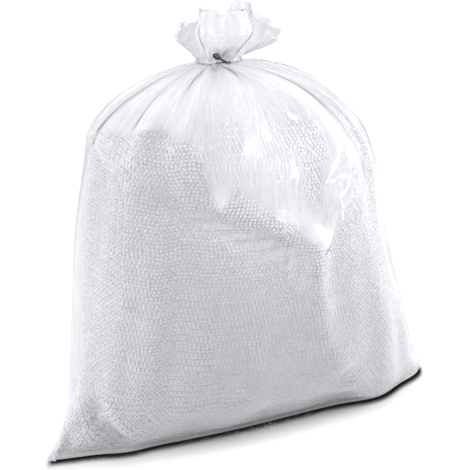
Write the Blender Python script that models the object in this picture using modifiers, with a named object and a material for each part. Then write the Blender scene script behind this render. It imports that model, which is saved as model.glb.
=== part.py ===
"""A clear film bag of expanded polystyrene beads, gathered at the neck and tied with wire.

The bag is a flat tube of blown film, sealed straight across the bottom. Filled and stood up,
it rests on a long pointed footprint with an ear at each bottom corner, bellies out above it,
and is drawn in by radial pleats to a waist. A twisted wire holds the waist, and the mouth
stands above it as a loose frill of petals. The beads fill the bag up to a heap under the
pleats.

Sizes are in metres. X runs from ear to ear, -Y is the front and +Z is up. Angles go round the
bag from the right ear: -90 degrees is the front and 180 the left ear.
"""

import math
from collections import namedtuple

import bpy
import numpy as np
from mathutils import Vector

NAME = "bag_of_polystyrene_beads"

# Driving sizes of the standing bag: from ear to ear at the foot, and through the chest
EAR_SPAN = 0.612
BAG_DEPTH = 0.310

# Film
FILM_WALL = 0.0005
AROUND = 84

# The bottom seam rolls under by this radius, and leaves a flap of empty film at each ear
FOOT_ROLL = 0.012
FOOT_ROLL_ANGLES = (0.0, math.pi / 4.0)
LEFT_FLAP = 0.007
RIGHT_FLAP = 0.011
FLAP_HEIGHT = 0.016

# Sections of the wall, each at a share of its height. Left and right are shares of the ear
# span and front and back are shares of the depth, from the middle of the seam. A point near 2
# makes an end sharp, and one near 0.8 makes it full. The lean shifts the front's depth to the
# right.
Section = namedtuple("Section", "share left right front back left_point right_point lean")
FOOT = Section(0.00, 0.507, 0.493, 0.163, 0.303, 1.90, 0.70, 0.35)
ANKLE = Section(0.07, 0.489, 0.489, 0.262, 0.374, 1.50, 0.75, 0.20)
HIP = Section(0.20, 0.451, 0.441, 0.394, 0.452, 1.00, 0.80, 0.10)
BELLY = Section(0.45, 0.428, 0.386, 0.484, 0.500, 0.85, 0.80, 0.05)
CHEST = Section(0.72, 0.412, 0.333, 0.500, 0.500, 0.85, 0.80, 0.00)
SHOULDER = Section(1.00, 0.376, 0.294, 0.468, 0.468, 0.85, 0.85, 0.00)
SECTIONS = (FOOT, ANKLE, HIP, BELLY, CHEST, SHOULDER)
END_FULLNESS = 0.9
WALL_SHARES = (0.0, 0.07, 0.15, 0.27, 0.42, 0.58, 0.79, 1.0)

# Corners that the weight of the beads pushes out of the front of the foot. Each faces an angle
# and spreads to both sides of it in degrees. They fade out by a share of the wall's height.
Corner = namedtuple("Corner", "facing spread push")
CORNERS = (
    Corner(-54.0, 12.0, 0.0155),
    Corner(-131.0, 8.0, 0.006),
)
CORNER_FADE = 0.30

# The shoulder is where the wall turns over into the dome. A dome fullness of 1 is a straight
# cone, 2 an ellipse, and more is squarer.
Sides = namedtuple("Sides", "left right front back")
SHOULDER_HEIGHT = Sides(0.420, 0.312, 0.375, 0.400)
DOME_FULLNESS = Sides(1.64, 2.13, 2.20, 1.65)
DOME_ROWS = 7

# Waist of the neck, held by the tie
NECK_X = -0.040
NECK_Y = 0.020
NECK_Z = 0.5225
NECK_HALF_WIDTH = 0.025
NECK_HALF_DEPTH = 0.014
NECK_LAND = 0.0042

# Pleats run from the shoulder up to the waist and on into the frill. The drift spaces them
# unevenly: each of its waves is a count round the bag, a size and a start.
PLEATS = 14
PLEAT_DRIFT = ((2, 0.9, 0.0), (3, 0.6, 1.0))
DOME_PLEAT_DEPTH = 0.006
NECK_PLEAT_DEPTH = 0.0022
PLEAT_RUN_IN = 0.5

# Frill: the free mouth above the tie, in petals. Each faces an angle and spreads to both sides
# of it in degrees, reaches out and up from the waist, and draws its rim in to a share of that
# reach. The flare gives the reach at shares of the height below the rim.
Petal = namedtuple("Petal", "facing spread reach height rim")
PETALS = (
    Petal(-97.0, 80.0, 0.046, 0.067, 0.62),
    Petal(-24.0, 34.0, 0.053, 0.038, 1.12),
    Petal(20.0, 46.0, 0.035, 0.070, 0.80),
    Petal(66.0, 40.0, 0.020, 0.053, 0.75),
    Petal(94.0, 26.0, 0.024, 0.063, 1.00),
    Petal(166.0, 48.0, 0.033, 0.048, 0.75),
)
FLARE = ((0.16, 0.34), (0.36, 0.74), (0.60, 1.00))
CURL = (0.82, 0.50)

# Folds of the standing bag. Each runs between two spots on it, and sinks by its depth or
# stands out where the depth is negative. A spot is an angle and a climb, which is 0 at the
# foot, 1 at the shoulder and 2 at the waist. Folds fade out below a height over the floor.
Fold = namedtuple("Fold", "start end width depth")
FOLD_FADE = 0.026
FOLDS = (
    # crease that cuts the left ear off from the body
    Fold((-158.5, 0.18), (-133.0, 0.02), 0.015, 0.010),
    # fat lobe of the left ear
    Fold((-157.0, 0.04), (-155.0, 0.08), 0.022, -0.006),
    # ridge between the front and the right end, from the gathers down to the foot's corner
    Fold((-88.0, 0.80), (-86.5, 0.58), 0.030, -0.009),
    Fold((-84.0, 0.46), (-77.5, 0.31), 0.032, -0.009),
    Fold((-70.0, 0.17), (-60.0, 0.06), 0.028, -0.007),
    # dents under the ends of the gathers
    Fold((-136.0, 0.96), (-119.0, 0.93), 0.022, 0.008),
    Fold((-111.0, 0.88), (-95.0, 0.82), 0.020, 0.007),
    # like hollows on the back, where the film slackens
    Fold((63.5, 0.92), (85.5, 0.75), 0.030, 0.006),
    Fold((126.0, 0.83), (113.5, 0.62), 0.030, 0.005),
)

# Shallow waves that the pull of the film leaves all over the beads. Each has a count round the
# bag, a slant in radians from foot to shoulder, a depth and a start.
Wave = namedtuple("Wave", "count slant depth start")
WAVES = (
    Wave(9, 2.4, 0.0011, 0.9),
    Wave(16, -3.6, 0.0008, 2.2),
    Wave(21, 4.2, 0.0006, 4.0),
)

# Beads: they touch the film up to the shoulder and heap up below the pleats
BEAD_CLEARANCE = 0.0004
HEAP_DROP = 0.003
HEAP_ROWS = 5
HEAP_REACH = 0.90
HEAP_EDGE = 0.5

# Tie: annealed wire looped round the waist. Its two ends are twisted together off to the left,
# and curled into a knob.
WIRE_DIAMETER = 0.0016
WIRE_CLEARANCE = 0.0003
KNOB_ANGLE = math.radians(-86.0)
KNOB_HEADING = math.radians(206.0)
KNOB_RISE = math.radians(27.0)
KNOB_STANDOFF = 0.0028
KNOB_TURNS = 5
KNOB_LENGTH = 0.033
KNOB_RADIUS = 0.0042
KNOB_START = 0.58
LOOP_POINTS = 32
POINTS_PER_TURN = 8


def clear_scene():
    """Remove the objects that the startup scene holds."""
    for obj in list(bpy.data.objects):
        bpy.data.objects.remove(obj, do_unlink=True)


def make_material(name, color, roughness, metallic=0.0, alpha=1.0):
    """Make a Principled material."""
    material = bpy.data.materials.new(name)
    material.use_nodes = True
    shader = material.node_tree.nodes["Principled BSDF"]
    shader.inputs["Base Color"].default_value = (*color, 1.0)
    shader.inputs["Roughness"].default_value = roughness
    shader.inputs["Metallic"].default_value = metallic
    shader.inputs["Alpha"].default_value = alpha
    material.diffuse_color = (*color, alpha)
    return material


def smooth_step(value):
    """Rise from 0 to 1 with level ends."""
    value = np.clip(value, 0.0, 1.0)
    return value * value * (3.0 - 2.0 * value)


def curve_through(stations, values, at):
    """Read a smooth curve through the values of the stations, without overshoot."""
    gaps = np.diff(stations)
    slopes = np.diff(values) / gaps
    turns = slopes[:-1] * slopes[1:]
    inner = np.where(turns > 0.0, 2.0 * turns / (slopes[:-1] + slopes[1:] + (turns <= 0.0)), 0.0)
    tangents = np.concatenate([slopes[:1], inner, slopes[-1:]])
    index = np.clip(np.searchsorted(stations, at, side="right") - 1, 0, len(gaps) - 1)
    t = (at - stations[index]) / gaps[index]
    rise = smooth_step(t)
    lead = t * (1.0 - t) ** 2 * gaps[index] * tangents[index]
    tail = t * t * (t - 1.0) * gaps[index] * tangents[index + 1]
    return values[index] * (1.0 - rise) + values[index + 1] * rise + lead + tail


def directions():
    """Angles of the samples round the bag from the right ear, with their cosines and sines."""
    angle = np.linspace(0.0, 2.0 * math.pi, AROUND, endpoint=False)
    return angle, np.cos(angle), np.sin(angle)


def outward():
    """Level unit vectors at the samples round the bag."""
    _, cos, sin = directions()
    return np.column_stack([cos, sin, np.zeros(AROUND)])


def round_the_sides(sides):
    """Blend one value for each of the four sides smoothly round the bag."""
    _, cos, sin = directions()
    ends = np.where(cos < 0.0, sides.left, sides.right) * cos**2
    faces = np.where(sin < 0.0, sides.front, sides.back) * sin**2
    return ends + faces


def corner_push(share):
    """How far the corners of the foot stand out at a share of the wall's height."""
    angle, _, _ = directions()
    push = np.zeros(AROUND)
    for corner in CORNERS:
        away = np.angle(np.exp(1j * (angle - math.radians(corner.facing))))
        push += corner.push * np.exp(-((away / math.radians(corner.spread)) ** 2))
    return push * smooth_step(1.0 - share / CORNER_FADE)


def outline(section):
    """Plan outline of one section, as two arrays."""
    _, cos, sin = directions()
    toward_left = 0.5 - 0.5 * cos
    point = section.left_point * toward_left + section.right_point * (1.0 - toward_left)
    reach = EAR_SPAN * np.where(cos < 0.0, section.left, section.right)
    front = section.front * (1.0 + section.lean * cos)
    depth = BAG_DEPTH * np.where(sin < 0.0, front, section.back)
    x = np.sign(cos) * np.abs(cos) ** END_FULLNESS * reach
    y = np.sign(sin) * np.abs(sin) ** point * depth
    return x, y - corner_push(section.share)


def section_at(share):
    """Section of the wall at a share of its height."""
    table = np.array(SECTIONS)
    values = [curve_through(table[:, 0], column, np.array([share]))[0] for column in table.T[1:]]
    return Section(share, *values)


def foot_rows():
    """Quarter roll from the flat underside out to the foot's outline."""
    x, y = outline(FOOT)
    length = EAR_SPAN * max(FOOT.left, FOOT.right)
    depth = BAG_DEPTH * max(FOOT.front, FOOT.back)
    rows = []
    for angle in FOOT_ROLL_ANGLES:
        inset = FOOT_ROLL * (1.0 - math.sin(angle))
        height = FOOT_ROLL * (1.0 - math.cos(angle))
        shrunk = (x * (1.0 - inset / length), y * (1.0 - inset / depth))
        rows.append(np.column_stack([*shrunk, np.full(AROUND, height)]))
    return rows


def wall_rows():
    """Rows from the foot to the shoulder, each at its share of the wall's height."""
    top = round_the_sides(SHOULDER_HEIGHT)
    rows = []
    for share in WALL_SHARES:
        x, y = outline(section_at(share))
        rows.append(np.column_stack([x, y, FOOT_ROLL + share * (top - FOOT_ROLL)]))
    return rows


def waist_row(height):
    """Unpleated waist of the neck at a height above its middle."""
    _, cos, sin = directions()
    x = NECK_X + NECK_HALF_WIDTH * cos
    y = NECK_Y + NECK_HALF_DEPTH * sin
    return np.column_stack([x, y, np.full(AROUND, NECK_Z + height)])


def dome_rows(shoulder, rows, reach=1.0):
    """Rows that turn over from the shoulder to the waist, on superellipse arcs."""
    waist = waist_row(-NECK_LAND)
    power = 2.0 / round_the_sides(DOME_FULLNESS)
    made = []
    for angle in np.linspace(0.0, reach * math.pi / 2.0, rows + 1)[1:]:
        inward = 1.0 - max(math.cos(angle), 0.0) ** power
        upward = math.sin(angle) ** power
        row = shoulder.copy()
        row[:, :2] += (waist[:, :2] - shoulder[:, :2]) * inward[:, None]
        row[:, 2] += (waist[:, 2] - shoulder[:, 2]) * upward
        made.append(row)
    return made


def pleat_wave():
    """Height of the pleats round the bag, from -1 to 1, with uneven spacing."""
    angle, _, _ = directions()
    phase = PLEATS * angle
    for count, size, start in PLEAT_DRIFT:
        phase = phase + size * np.sin(count * angle + start)
    return np.cos(phase)


def petals_round():
    """Reach, height and rim share of the frill round the neck. The widest petal wins."""
    angle, _, _ = directions()
    reach = np.zeros(AROUND)
    total = np.zeros(AROUND)
    height = np.zeros(AROUND)
    rim = np.zeros(AROUND)
    for petal in PETALS:
        away = np.angle(np.exp(1j * (angle - math.radians(petal.facing))))
        share = np.clip(away / math.radians(petal.spread), -1.0, 1.0)
        weight = np.cos(share * math.pi / 2.0)
        reach = np.maximum(reach, petal.reach * weight)
        total += weight**2
        height += petal.height * weight**2
        rim += petal.rim * weight**2
    return reach, height / total, rim / total


def frill_rows():
    """Rows of the mouth: they flare out above the waist, and curl in to the rim."""
    reach, height, rim = petals_round()
    curl_at, curl_share = CURL
    flare = [(share, np.full(AROUND, spread)) for share, spread in FLARE]
    flare.append((curl_at, 1.0 - (1.0 - rim) * curl_share))
    flare.append((1.0, rim))
    waist = waist_row(NECK_LAND) + NECK_PLEAT_DEPTH * pleat_wave()[:, None] * outward()
    rows = [waist]
    for share, spread in flare:
        pleat = NECK_PLEAT_DEPTH * pleat_wave() * share
        row = waist + outward() * (reach * spread - pleat)[:, None]
        row[:, 2] += height * share
        rows.append(row)
    return rows


def loft(name, rows, capped):
    """Mesh of quads through the rows, closed below, and above too where capped."""
    count = len(rows)
    points = np.concatenate(rows)
    faces = []
    for row in range(count - 1):
        for step in range(AROUND):
            after = (step + 1) % AROUND
            low = row * AROUND
            high = low + AROUND
            faces.append((low + step, low + after, high + after, high + step))
    faces.append(tuple(reversed(range(AROUND))))
    if capped:
        faces.append(tuple(range((count - 1) * AROUND, count * AROUND)))
    mesh = bpy.data.meshes.new(name)
    mesh.from_pydata(points.tolist(), [], faces)
    mesh.validate()
    return mesh


def normals_of(mesh):
    """Outward vertex normals as an array."""
    values = np.empty(len(mesh.vertices) * 3)
    mesh.vertex_normals.foreach_get("vector", values)
    return values.reshape(-1, 3)


def points_of(mesh):
    """Vertex places as an array."""
    values = np.empty(len(mesh.vertices) * 3)
    mesh.vertices.foreach_get("co", values)
    return values.reshape(-1, 3)


def normals_of_rows(rows):
    """Outward normals at the points of the rows."""
    mesh = loft("normals", rows, False)
    normals = normals_of(mesh).reshape(-1, AROUND, 3)
    bpy.data.meshes.remove(mesh)
    return normals


def climbs_of_rows():
    """Climb of each row of the body: 0 for the foot's, 1 at the shoulder and 2 at the waist."""
    foot = np.zeros(len(FOOT_ROLL_ANGLES))
    dome = np.linspace(1.0, 2.0, DOME_ROWS + 1)[1:]
    return np.concatenate([foot, WALL_SHARES, dome])


def spot_on(rows, spot):
    """Place of a spot on the rows of the unfolded bag."""
    degrees, climb = spot
    first = len(FOOT_ROLL_ANGLES)
    climbs = climbs_of_rows()[first:]
    angle, _, _ = directions()
    closed = np.append(angle, 2.0 * math.pi)
    turn = math.radians(degrees) % (2.0 * math.pi)
    across = np.array(rows[first:])
    ring = np.concatenate([across, across[:, :1]], axis=1)
    column = [[np.interp(turn, closed, row[:, axis]) for axis in range(3)] for row in ring]
    return np.array([np.interp(climb, climbs, values) for values in np.array(column).T])


def sunk_by_folds(rows):
    """How far each point sinks along its normal, from its distance to each fold's line."""
    points = np.concatenate(rows)
    sunk = np.zeros(len(points))
    for fold in FOLDS:
        start = spot_on(rows, fold.start)
        run = spot_on(rows, fold.end) - start
        along = np.clip((points - start) @ run / (run @ run), 0.0, 1.0)
        away = np.linalg.norm(points - start - along[:, None] * run, axis=1)
        sunk += fold.depth * np.exp(-((away / fold.width) ** 2))
    return sunk.reshape(-1, AROUND)


def sunk_by_waves():
    """How far each point sinks in the shallow waves, which fade out up the dome."""
    angle, _, _ = directions()
    climb = climbs_of_rows()[:, None]
    sunk = np.zeros((len(climb), AROUND))
    for wave in WAVES:
        sunk += wave.depth * np.sin(wave.count * angle + wave.slant * climb + wave.start)
    return sunk * smooth_step(2.0 - climb)


def fold_rows(rows):
    """Sink the folds and waves into rows of the bag, leaving the flat underside alone."""
    flat = np.array(rows)
    lift = smooth_step(flat[:, :, 2] / FOLD_FADE)
    sunk = (sunk_by_folds(rows) + sunk_by_waves()) * lift
    return list(flat - normals_of_rows(rows) * sunk[:, :, None])


def pleat_rows(rows):
    """Raise the pleats on the dome rows, growing from the shoulder to the waist."""
    normals = normals_of_rows(rows)
    wave = pleat_wave()
    pleated = list(rows)
    for step in range(DOME_ROWS):
        progress = (step + 1) / DOME_ROWS
        depth = DOME_PLEAT_DEPTH * smooth_step(progress / PLEAT_RUN_IN) * (1.0 - progress)
        depth += NECK_PLEAT_DEPTH * progress
        index = len(rows) - DOME_ROWS + step
        pleated[index] = rows[index] + normals[index] * (depth * wave)[:, None]
    pleated[-1] = rows[-1] + outward() * (NECK_PLEAT_DEPTH * wave)[:, None]
    return pleated


def pull_out_flaps(rows):
    """Draw the film at each ear out into a small empty flap."""
    half = AROUND // 2
    for row in rows[: len(WALL_SHARES)]:
        low = np.exp(-((row[0, 2] / FLAP_HEIGHT) ** 2))
        row[0, 0] += RIGHT_FLAP * low
        row[half, 0] -= LEFT_FLAP * low
    return rows


def body_rows():
    """Rows of the folded bag below the waist, shared by the film and the beads."""
    below = foot_rows() + wall_rows()
    return fold_rows(below + dome_rows(below[-1], DOME_ROWS))


def film_bag():
    """The bag: one open skin from the underside to the rim, thickened inward."""
    rows = pull_out_flaps(pleat_rows(body_rows())) + frill_rows()
    bag = bpy.data.objects.new("film_bag", loft("film_bag", rows, False))
    wall = bag.modifiers.new("Film wall", "SOLIDIFY")
    wall.thickness = FILM_WALL
    wall.offset = -1.0
    wall.use_even_offset = False
    return bag


def bead_fill():
    """The beads as one mass: it lies against the film, and heaps up under the dome."""
    body = body_rows()
    below = len(body) - DOME_ROWS
    rows = body[:below] + dome_rows(body[below - 1], HEAP_ROWS, HEAP_REACH)
    lining = loft("lining", rows, True)
    normals = normals_of(lining)
    points = points_of(lining)
    bpy.data.meshes.remove(lining)
    progress = np.zeros(len(rows))
    progress[below:] = np.linspace(0.0, 1.0, HEAP_ROWS + 1)[1:]
    drop = (HEAP_DROP + DOME_PLEAT_DEPTH) * smooth_step(progress / HEAP_EDGE)
    inset = FILM_WALL + BEAD_CLEARANCE + np.repeat(drop, AROUND)
    points -= normals * inset[:, None]
    return bpy.data.objects.new("bead_fill", loft("bead_fill", list(points.reshape(-1, AROUND, 3)), True))


def tie_loop():
    """Points of the wire round the waist, from one side of the crossing to the other."""
    seat = NECK_PLEAT_DEPTH + WIRE_CLEARANCE + WIRE_DIAMETER / 2.0
    half_width = NECK_HALF_WIDTH + seat
    half_depth = NECK_HALF_DEPTH + seat
    gap = math.asin((WIRE_DIAMETER + 2.0 * WIRE_CLEARANCE) / (half_width + half_depth))
    loop = []
    for step in range(LOOP_POINTS + 1):
        angle = KNOB_ANGLE + gap + (2.0 * math.pi - 2.0 * gap) * step / LOOP_POINTS
        place = (half_width * math.cos(angle), half_depth * math.sin(angle), 0.0)
        loop.append(Vector((NECK_X, NECK_Y, NECK_Z)) + Vector(place))
    return loop


def tie_ends(root):
    """Points of the two wire ends: a double helix that swells into the knob."""
    level = Vector((math.cos(KNOB_HEADING), math.sin(KNOB_HEADING), 0.0))
    axis = level * math.cos(KNOB_RISE) + Vector((0.0, 0.0, math.sin(KNOB_RISE)))
    sideways = axis.cross(Vector((0.0, 0.0, 1.0))).normalized()
    upward = sideways.cross(axis)
    tight = WIRE_DIAMETER / 2.0 + WIRE_CLEARANCE
    count = KNOB_TURNS * POINTS_PER_TURN
    ends = ([], [])
    for step in range(count + 1):
        share = step / count
        bulb = max(share - KNOB_START, 0.0) / (1.0 - KNOB_START)
        radius = tight + (KNOB_RADIUS - WIRE_DIAMETER / 2.0 - tight) * math.sin(math.pi * bulb)
        turn = 2.0 * math.pi * KNOB_TURNS * share
        swing = (sideways * math.cos(turn) + upward * math.sin(turn)) * radius
        middle = root + axis * KNOB_LENGTH * share
        ends[0].append(middle + swing)
        ends[1].append(middle - swing)
    return ends


def tie_path():
    """Points along the wire: down one twisted end, round the waist and up the other."""
    loop = tie_loop()
    away = Vector((math.cos(KNOB_ANGLE), math.sin(KNOB_ANGLE), 0.0))
    root = (loop[0] + loop[-1]) / 2.0 + away * KNOB_STANDOFF
    first, second = tie_ends(root)
    if (first[0] - loop[0]).length > (second[0] - loop[0]).length:
        first, second = second, first
    return list(reversed(first)) + loop + second


def wire_tie():
    """The tie: a round wire on its path, with closed ends."""
    path = tie_path()
    curve = bpy.data.curves.new("wire_tie", "CURVE")
    curve.dimensions = "3D"
    curve.bevel_depth = WIRE_DIAMETER / 2.0
    curve.bevel_resolution = 1
    curve.use_fill_caps = True
    spline = curve.splines.new("POLY")
    spline.points.add(len(path) - 1)
    for point, place in zip(spline.points, path):
        point.co = (*place, 1.0)
    return bpy.data.objects.new("wire_tie", curve)


def middle_of_base(obj):
    """Middle of the object's box, on its underside."""
    bpy.context.view_layer.update()
    corners = np.array([tuple(corner) for corner in obj.bound_box])
    low = corners.min(axis=0)
    high = corners.max(axis=0)
    return Vector(((low[0] + high[0]) / 2.0, (low[1] + high[1]) / 2.0, low[2]))


def build():
    """Build the pieces and stand them on the origin."""
    clear_scene()
    collection = bpy.data.collections.new(NAME)
    bpy.context.scene.collection.children.link(collection)
    stand = bpy.data.objects.new("stand", None)
    collection.objects.link(stand)
    film = make_material("clear_film", (0.90, 0.91, 0.94), 0.15, alpha=0.35)
    beads = make_material("polystyrene", (0.92, 0.92, 0.91), 0.60)
    wire = make_material("annealed_wire", (0.05, 0.05, 0.055), 0.40, metallic=1.0)
    pieces = ((film_bag(), film), (bead_fill(), beads), (wire_tie(), wire))
    for piece, material in pieces:
        piece.data.materials.append(material)
        collection.objects.link(piece)
        piece.parent = stand
        if piece.type == "MESH":
            piece.data.shade_smooth()
    stand.location = -middle_of_base(pieces[0][0])


build()
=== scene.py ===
"""Looks of a tied film bag of polystyrene beads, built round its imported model.

The film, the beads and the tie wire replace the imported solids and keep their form. Lengths are
in metres. X runs from ear to ear, -Y is the front and +Z is up. Angles go round the bag from
the right ear: -90 degrees is the front and 180 the left ear.
"""

import math
from collections import namedtuple

import bpy
import numpy as np
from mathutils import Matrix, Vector


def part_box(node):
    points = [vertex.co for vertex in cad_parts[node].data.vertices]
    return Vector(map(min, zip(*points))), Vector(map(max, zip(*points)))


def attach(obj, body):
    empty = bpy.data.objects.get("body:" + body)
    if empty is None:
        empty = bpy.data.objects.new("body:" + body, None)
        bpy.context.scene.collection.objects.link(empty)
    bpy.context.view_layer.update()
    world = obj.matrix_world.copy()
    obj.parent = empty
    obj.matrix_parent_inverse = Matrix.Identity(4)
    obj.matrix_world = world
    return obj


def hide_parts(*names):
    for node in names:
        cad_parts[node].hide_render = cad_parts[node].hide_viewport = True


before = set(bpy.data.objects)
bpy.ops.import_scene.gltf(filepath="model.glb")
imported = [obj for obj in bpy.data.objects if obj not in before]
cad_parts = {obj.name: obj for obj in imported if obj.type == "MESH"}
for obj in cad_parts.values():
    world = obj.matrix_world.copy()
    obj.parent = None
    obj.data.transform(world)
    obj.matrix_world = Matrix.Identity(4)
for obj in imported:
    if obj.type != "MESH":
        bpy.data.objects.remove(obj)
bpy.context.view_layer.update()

bl_info = {
    "name": "Bag of Polystyrene Beads",
    "version": (1, 0, 0),
    "blender": (4, 5, 0),
    "location": "3D View > Sidebar > Bead Bag",
    "description": "Builds a tied film bag that is filled with polystyrene beads",
    "category": "Add Mesh",
}

# Sizes of the standing bag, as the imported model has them, but for the roll of the foot, which
# is tighter here
EAR_SPAN = 0.612
BAG_DEPTH = 0.310
FOOT_ROLL = 0.005
LEFT_FLAP = 0.007
RIGHT_FLAP = 0.011
FLAP_HEIGHT = 0.016
FLAP_WIDTH = math.radians(4.0)

# Sections of the wall, each at a share of its height. Left and right are shares of the ear
# span, front and back are shares of the depth.
Section = namedtuple("Section", "share left right front back left_point right_point lean")
SECTIONS = (
    Section(0.00, 0.507, 0.493, 0.163, 0.303, 1.90, 0.70, 0.35),
    Section(0.07, 0.489, 0.489, 0.262, 0.374, 1.50, 0.75, 0.20),
    Section(0.20, 0.451, 0.441, 0.394, 0.452, 1.00, 0.80, 0.10),
    Section(0.45, 0.428, 0.386, 0.484, 0.500, 0.85, 0.80, 0.05),
    Section(0.72, 0.412, 0.333, 0.500, 0.500, 0.85, 0.80, 0.00),
    Section(1.00, 0.376, 0.294, 0.468, 0.468, 0.85, 0.85, 0.00),
)
FOOT = SECTIONS[0]
END_FULLNESS = 0.9

# Corners of the foot: the way each faces and its spread in degrees, and its push outward
Corner = namedtuple("Corner", "facing spread push")
CORNERS = (Corner(-54.0, 12.0, 0.0155), Corner(-131.0, 8.0, 0.006))
CORNER_FADE = 0.30

Sides = namedtuple("Sides", "left right front back")
SHOULDER_HEIGHT = Sides(0.420, 0.312, 0.375, 0.400)
DOME_FULLNESS = Sides(1.64, 2.13, 2.20, 1.65)

NECK = Vector((-0.040, 0.020, 0.5225))
NECK_HALF_WIDTH = 0.025
NECK_HALF_DEPTH = 0.014
NECK_LAND = 0.0042

PLEATS = 14
PLEAT_DRIFT = ((2, 0.9, 0.0), (3, 0.6, 1.0))
DOME_PLEAT_DEPTH = 0.006
NECK_PLEAT_DEPTH = 0.0022
PLEAT_RUN_IN = 0.5

# Petals of the frill, with angles in degrees
Petal = namedtuple("Petal", "facing spread reach height rim")
PETALS = (
    Petal(-97.0, 80.0, 0.046, 0.067, 0.62),
    Petal(-24.0, 34.0, 0.053, 0.038, 1.12),
    Petal(20.0, 46.0, 0.035, 0.070, 0.80),
    Petal(66.0, 40.0, 0.020, 0.053, 0.75),
    Petal(94.0, 26.0, 0.024, 0.063, 1.00),
    Petal(166.0, 48.0, 0.033, 0.048, 0.75),
)
FLARE_AT = (0.0, 0.16, 0.36, 0.60, 0.82, 1.0)
FLARE = (0.0, 0.34, 0.74, 1.0, 1.0, 1.0)
CURL = (0.0, 0.0, 0.0, 0.0, 0.5, 1.0)

# Folds between two spots, each an angle in degrees and a climb from 0 at the foot to 1 at the
# shoulder and 2 at the waist
Fold = namedtuple("Fold", "start end width depth")
FOLD_FADE = 0.026
FOLDS = (
    Fold((-158.5, 0.18), (-133.0, 0.02), 0.015, 0.010),
    Fold((-157.0, 0.04), (-155.0, 0.08), 0.022, -0.006),
    Fold((-88.0, 0.80), (-86.5, 0.58), 0.030, -0.009),
    Fold((-84.0, 0.46), (-77.5, 0.31), 0.032, -0.009),
    Fold((-70.0, 0.17), (-60.0, 0.06), 0.028, -0.007),
    Fold((-136.0, 0.96), (-119.0, 0.93), 0.022, 0.008),
    Fold((-111.0, 0.88), (-95.0, 0.82), 0.020, 0.007),
    Fold((63.5, 0.92), (85.5, 0.75), 0.030, 0.006),
    Fold((126.0, 0.83), (113.5, 0.62), 0.030, 0.005),
)

# Shallow waves all over the beads: a count round the bag, a slant in radians from foot to
# shoulder, a depth and a start
Wave = namedtuple("Wave", "count slant depth start")
WAVES = (
    Wave(9, 2.4, 0.0011, 0.9),
    Wave(16, -3.6, 0.0008, 2.2),
    Wave(21, 4.2, 0.0006, 4.0),
)

# Finer creases that only the film and the beads behind it show
CREASES = (
    Fold((-155.5, 0.145), (-132.0, 0.010), 0.006, 0.0045),
    Fold((-168.0, 0.10), (-160.0, 0.03), 0.007, 0.002),
    Fold((-150.0, 0.20), (-138.0, 0.10), 0.010, -0.002),
    Fold((178.0, 0.25), (168.0, 0.15), 0.009, 0.003),
    Fold((-134.0, 0.995), (-118.5, 0.975), 0.012, -0.0030),
    Fold((-116.0, 0.970), (-98.0, 0.900), 0.018, -0.0065),
    Fold((-97.0, 0.895), (-89.0, 0.835), 0.016, -0.0055),
    Fold((-131.0, 0.925), (-117.5, 0.895), 0.011, 0.0055),
    Fold((-114.0, 0.870), (-99.0, 0.810), 0.013, 0.0040),
    Fold((-96.0, 0.790), (-91.5, 0.700), 0.012, 0.0035),
    Fold((-87.8, 0.80), (-86.0, 0.54), 0.012, -0.0030),
    Fold((-84.5, 0.45), (-77.0, 0.29), 0.013, -0.0025),
    Fold((168.0, 1.18), (-177.0, 1.02), 0.007, 0.004),
    Fold((-153.0, 0.95), (-152.0, 0.60), 0.014, -0.0028),
    Fold((-152.0, 0.60), (-154.0, 0.25), 0.014, -0.0035),
    Fold((-20.0, 0.16), (-8.0, 0.03), 0.010, 0.003),
    Fold((20.0, 0.20), (8.0, 0.04), 0.012, 0.003),
    Fold((155.0, 0.22), (164.0, 0.05), 0.012, 0.004),
)

# Heap of the beads under the dome
FILM_CLEARANCE = 0.0009
HEAP_DROP = 0.003
HEAP_REACH = 0.90
HEAP_EDGE = 0.5

# Lower edge of the gathers, where the film lifts off the beads: angle in degrees, height, and
# the height over which the haze sets in
GATHER_EDGE = (
    (-180.0, 0.450, 0.012), (-166.5, 0.448, 0.008), (-150.0, 0.460, 0.010),
    (-141.0, 0.452, 0.022), (-133.0, 0.438, 0.030), (-126.0, 0.422, 0.034),
    (-122.0, 0.378, 0.030), (-117.5, 0.366, 0.012), (-113.0, 0.376, 0.030),
    (-103.5, 0.350, 0.040), (-95.5, 0.322, 0.034), (-90.5, 0.309, 0.018),
    (-87.0, 0.304, 0.012), (-82.5, 0.315, 0.010), (-75.0, 0.336, 0.012),
    (-64.0, 0.349, 0.020), (-51.0, 0.352, 0.040), (-40.0, 0.352, 0.030),
    (-20.0, 0.400, 0.030), (10.0, 0.392, 0.020), (45.0, 0.366, 0.030),
    (70.0, 0.334, 0.020), (85.0, 0.312, 0.014), (105.0, 0.356, 0.034),
    (125.0, 0.324, 0.016), (145.0, 0.379, 0.034), (165.0, 0.424, 0.020),
    (180.0, 0.450, 0.012),
)

# Ledges where the taut film juts out over the gathers' edge: angle and spread in degrees, how
# far out, and the height over which it falls back
Ledge = namedtuple("Ledge", "angle spread out height")
LEDGES = (
    Ledge(-118.0, 7.0, 0.0020, 0.024),
    Ledge(-103.0, 12.0, 0.0030, 0.040),
    Ledge(-88.0, 9.0, 0.0070, 0.034),
    Ledge(-152.0, 14.0, 0.0025, 0.016),
    Ledge(85.0, 9.0, 0.0060, 0.024),
    Ledge(125.0, 8.0, 0.0050, 0.024),
)
LEDGE_LIP = 0.007

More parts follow.
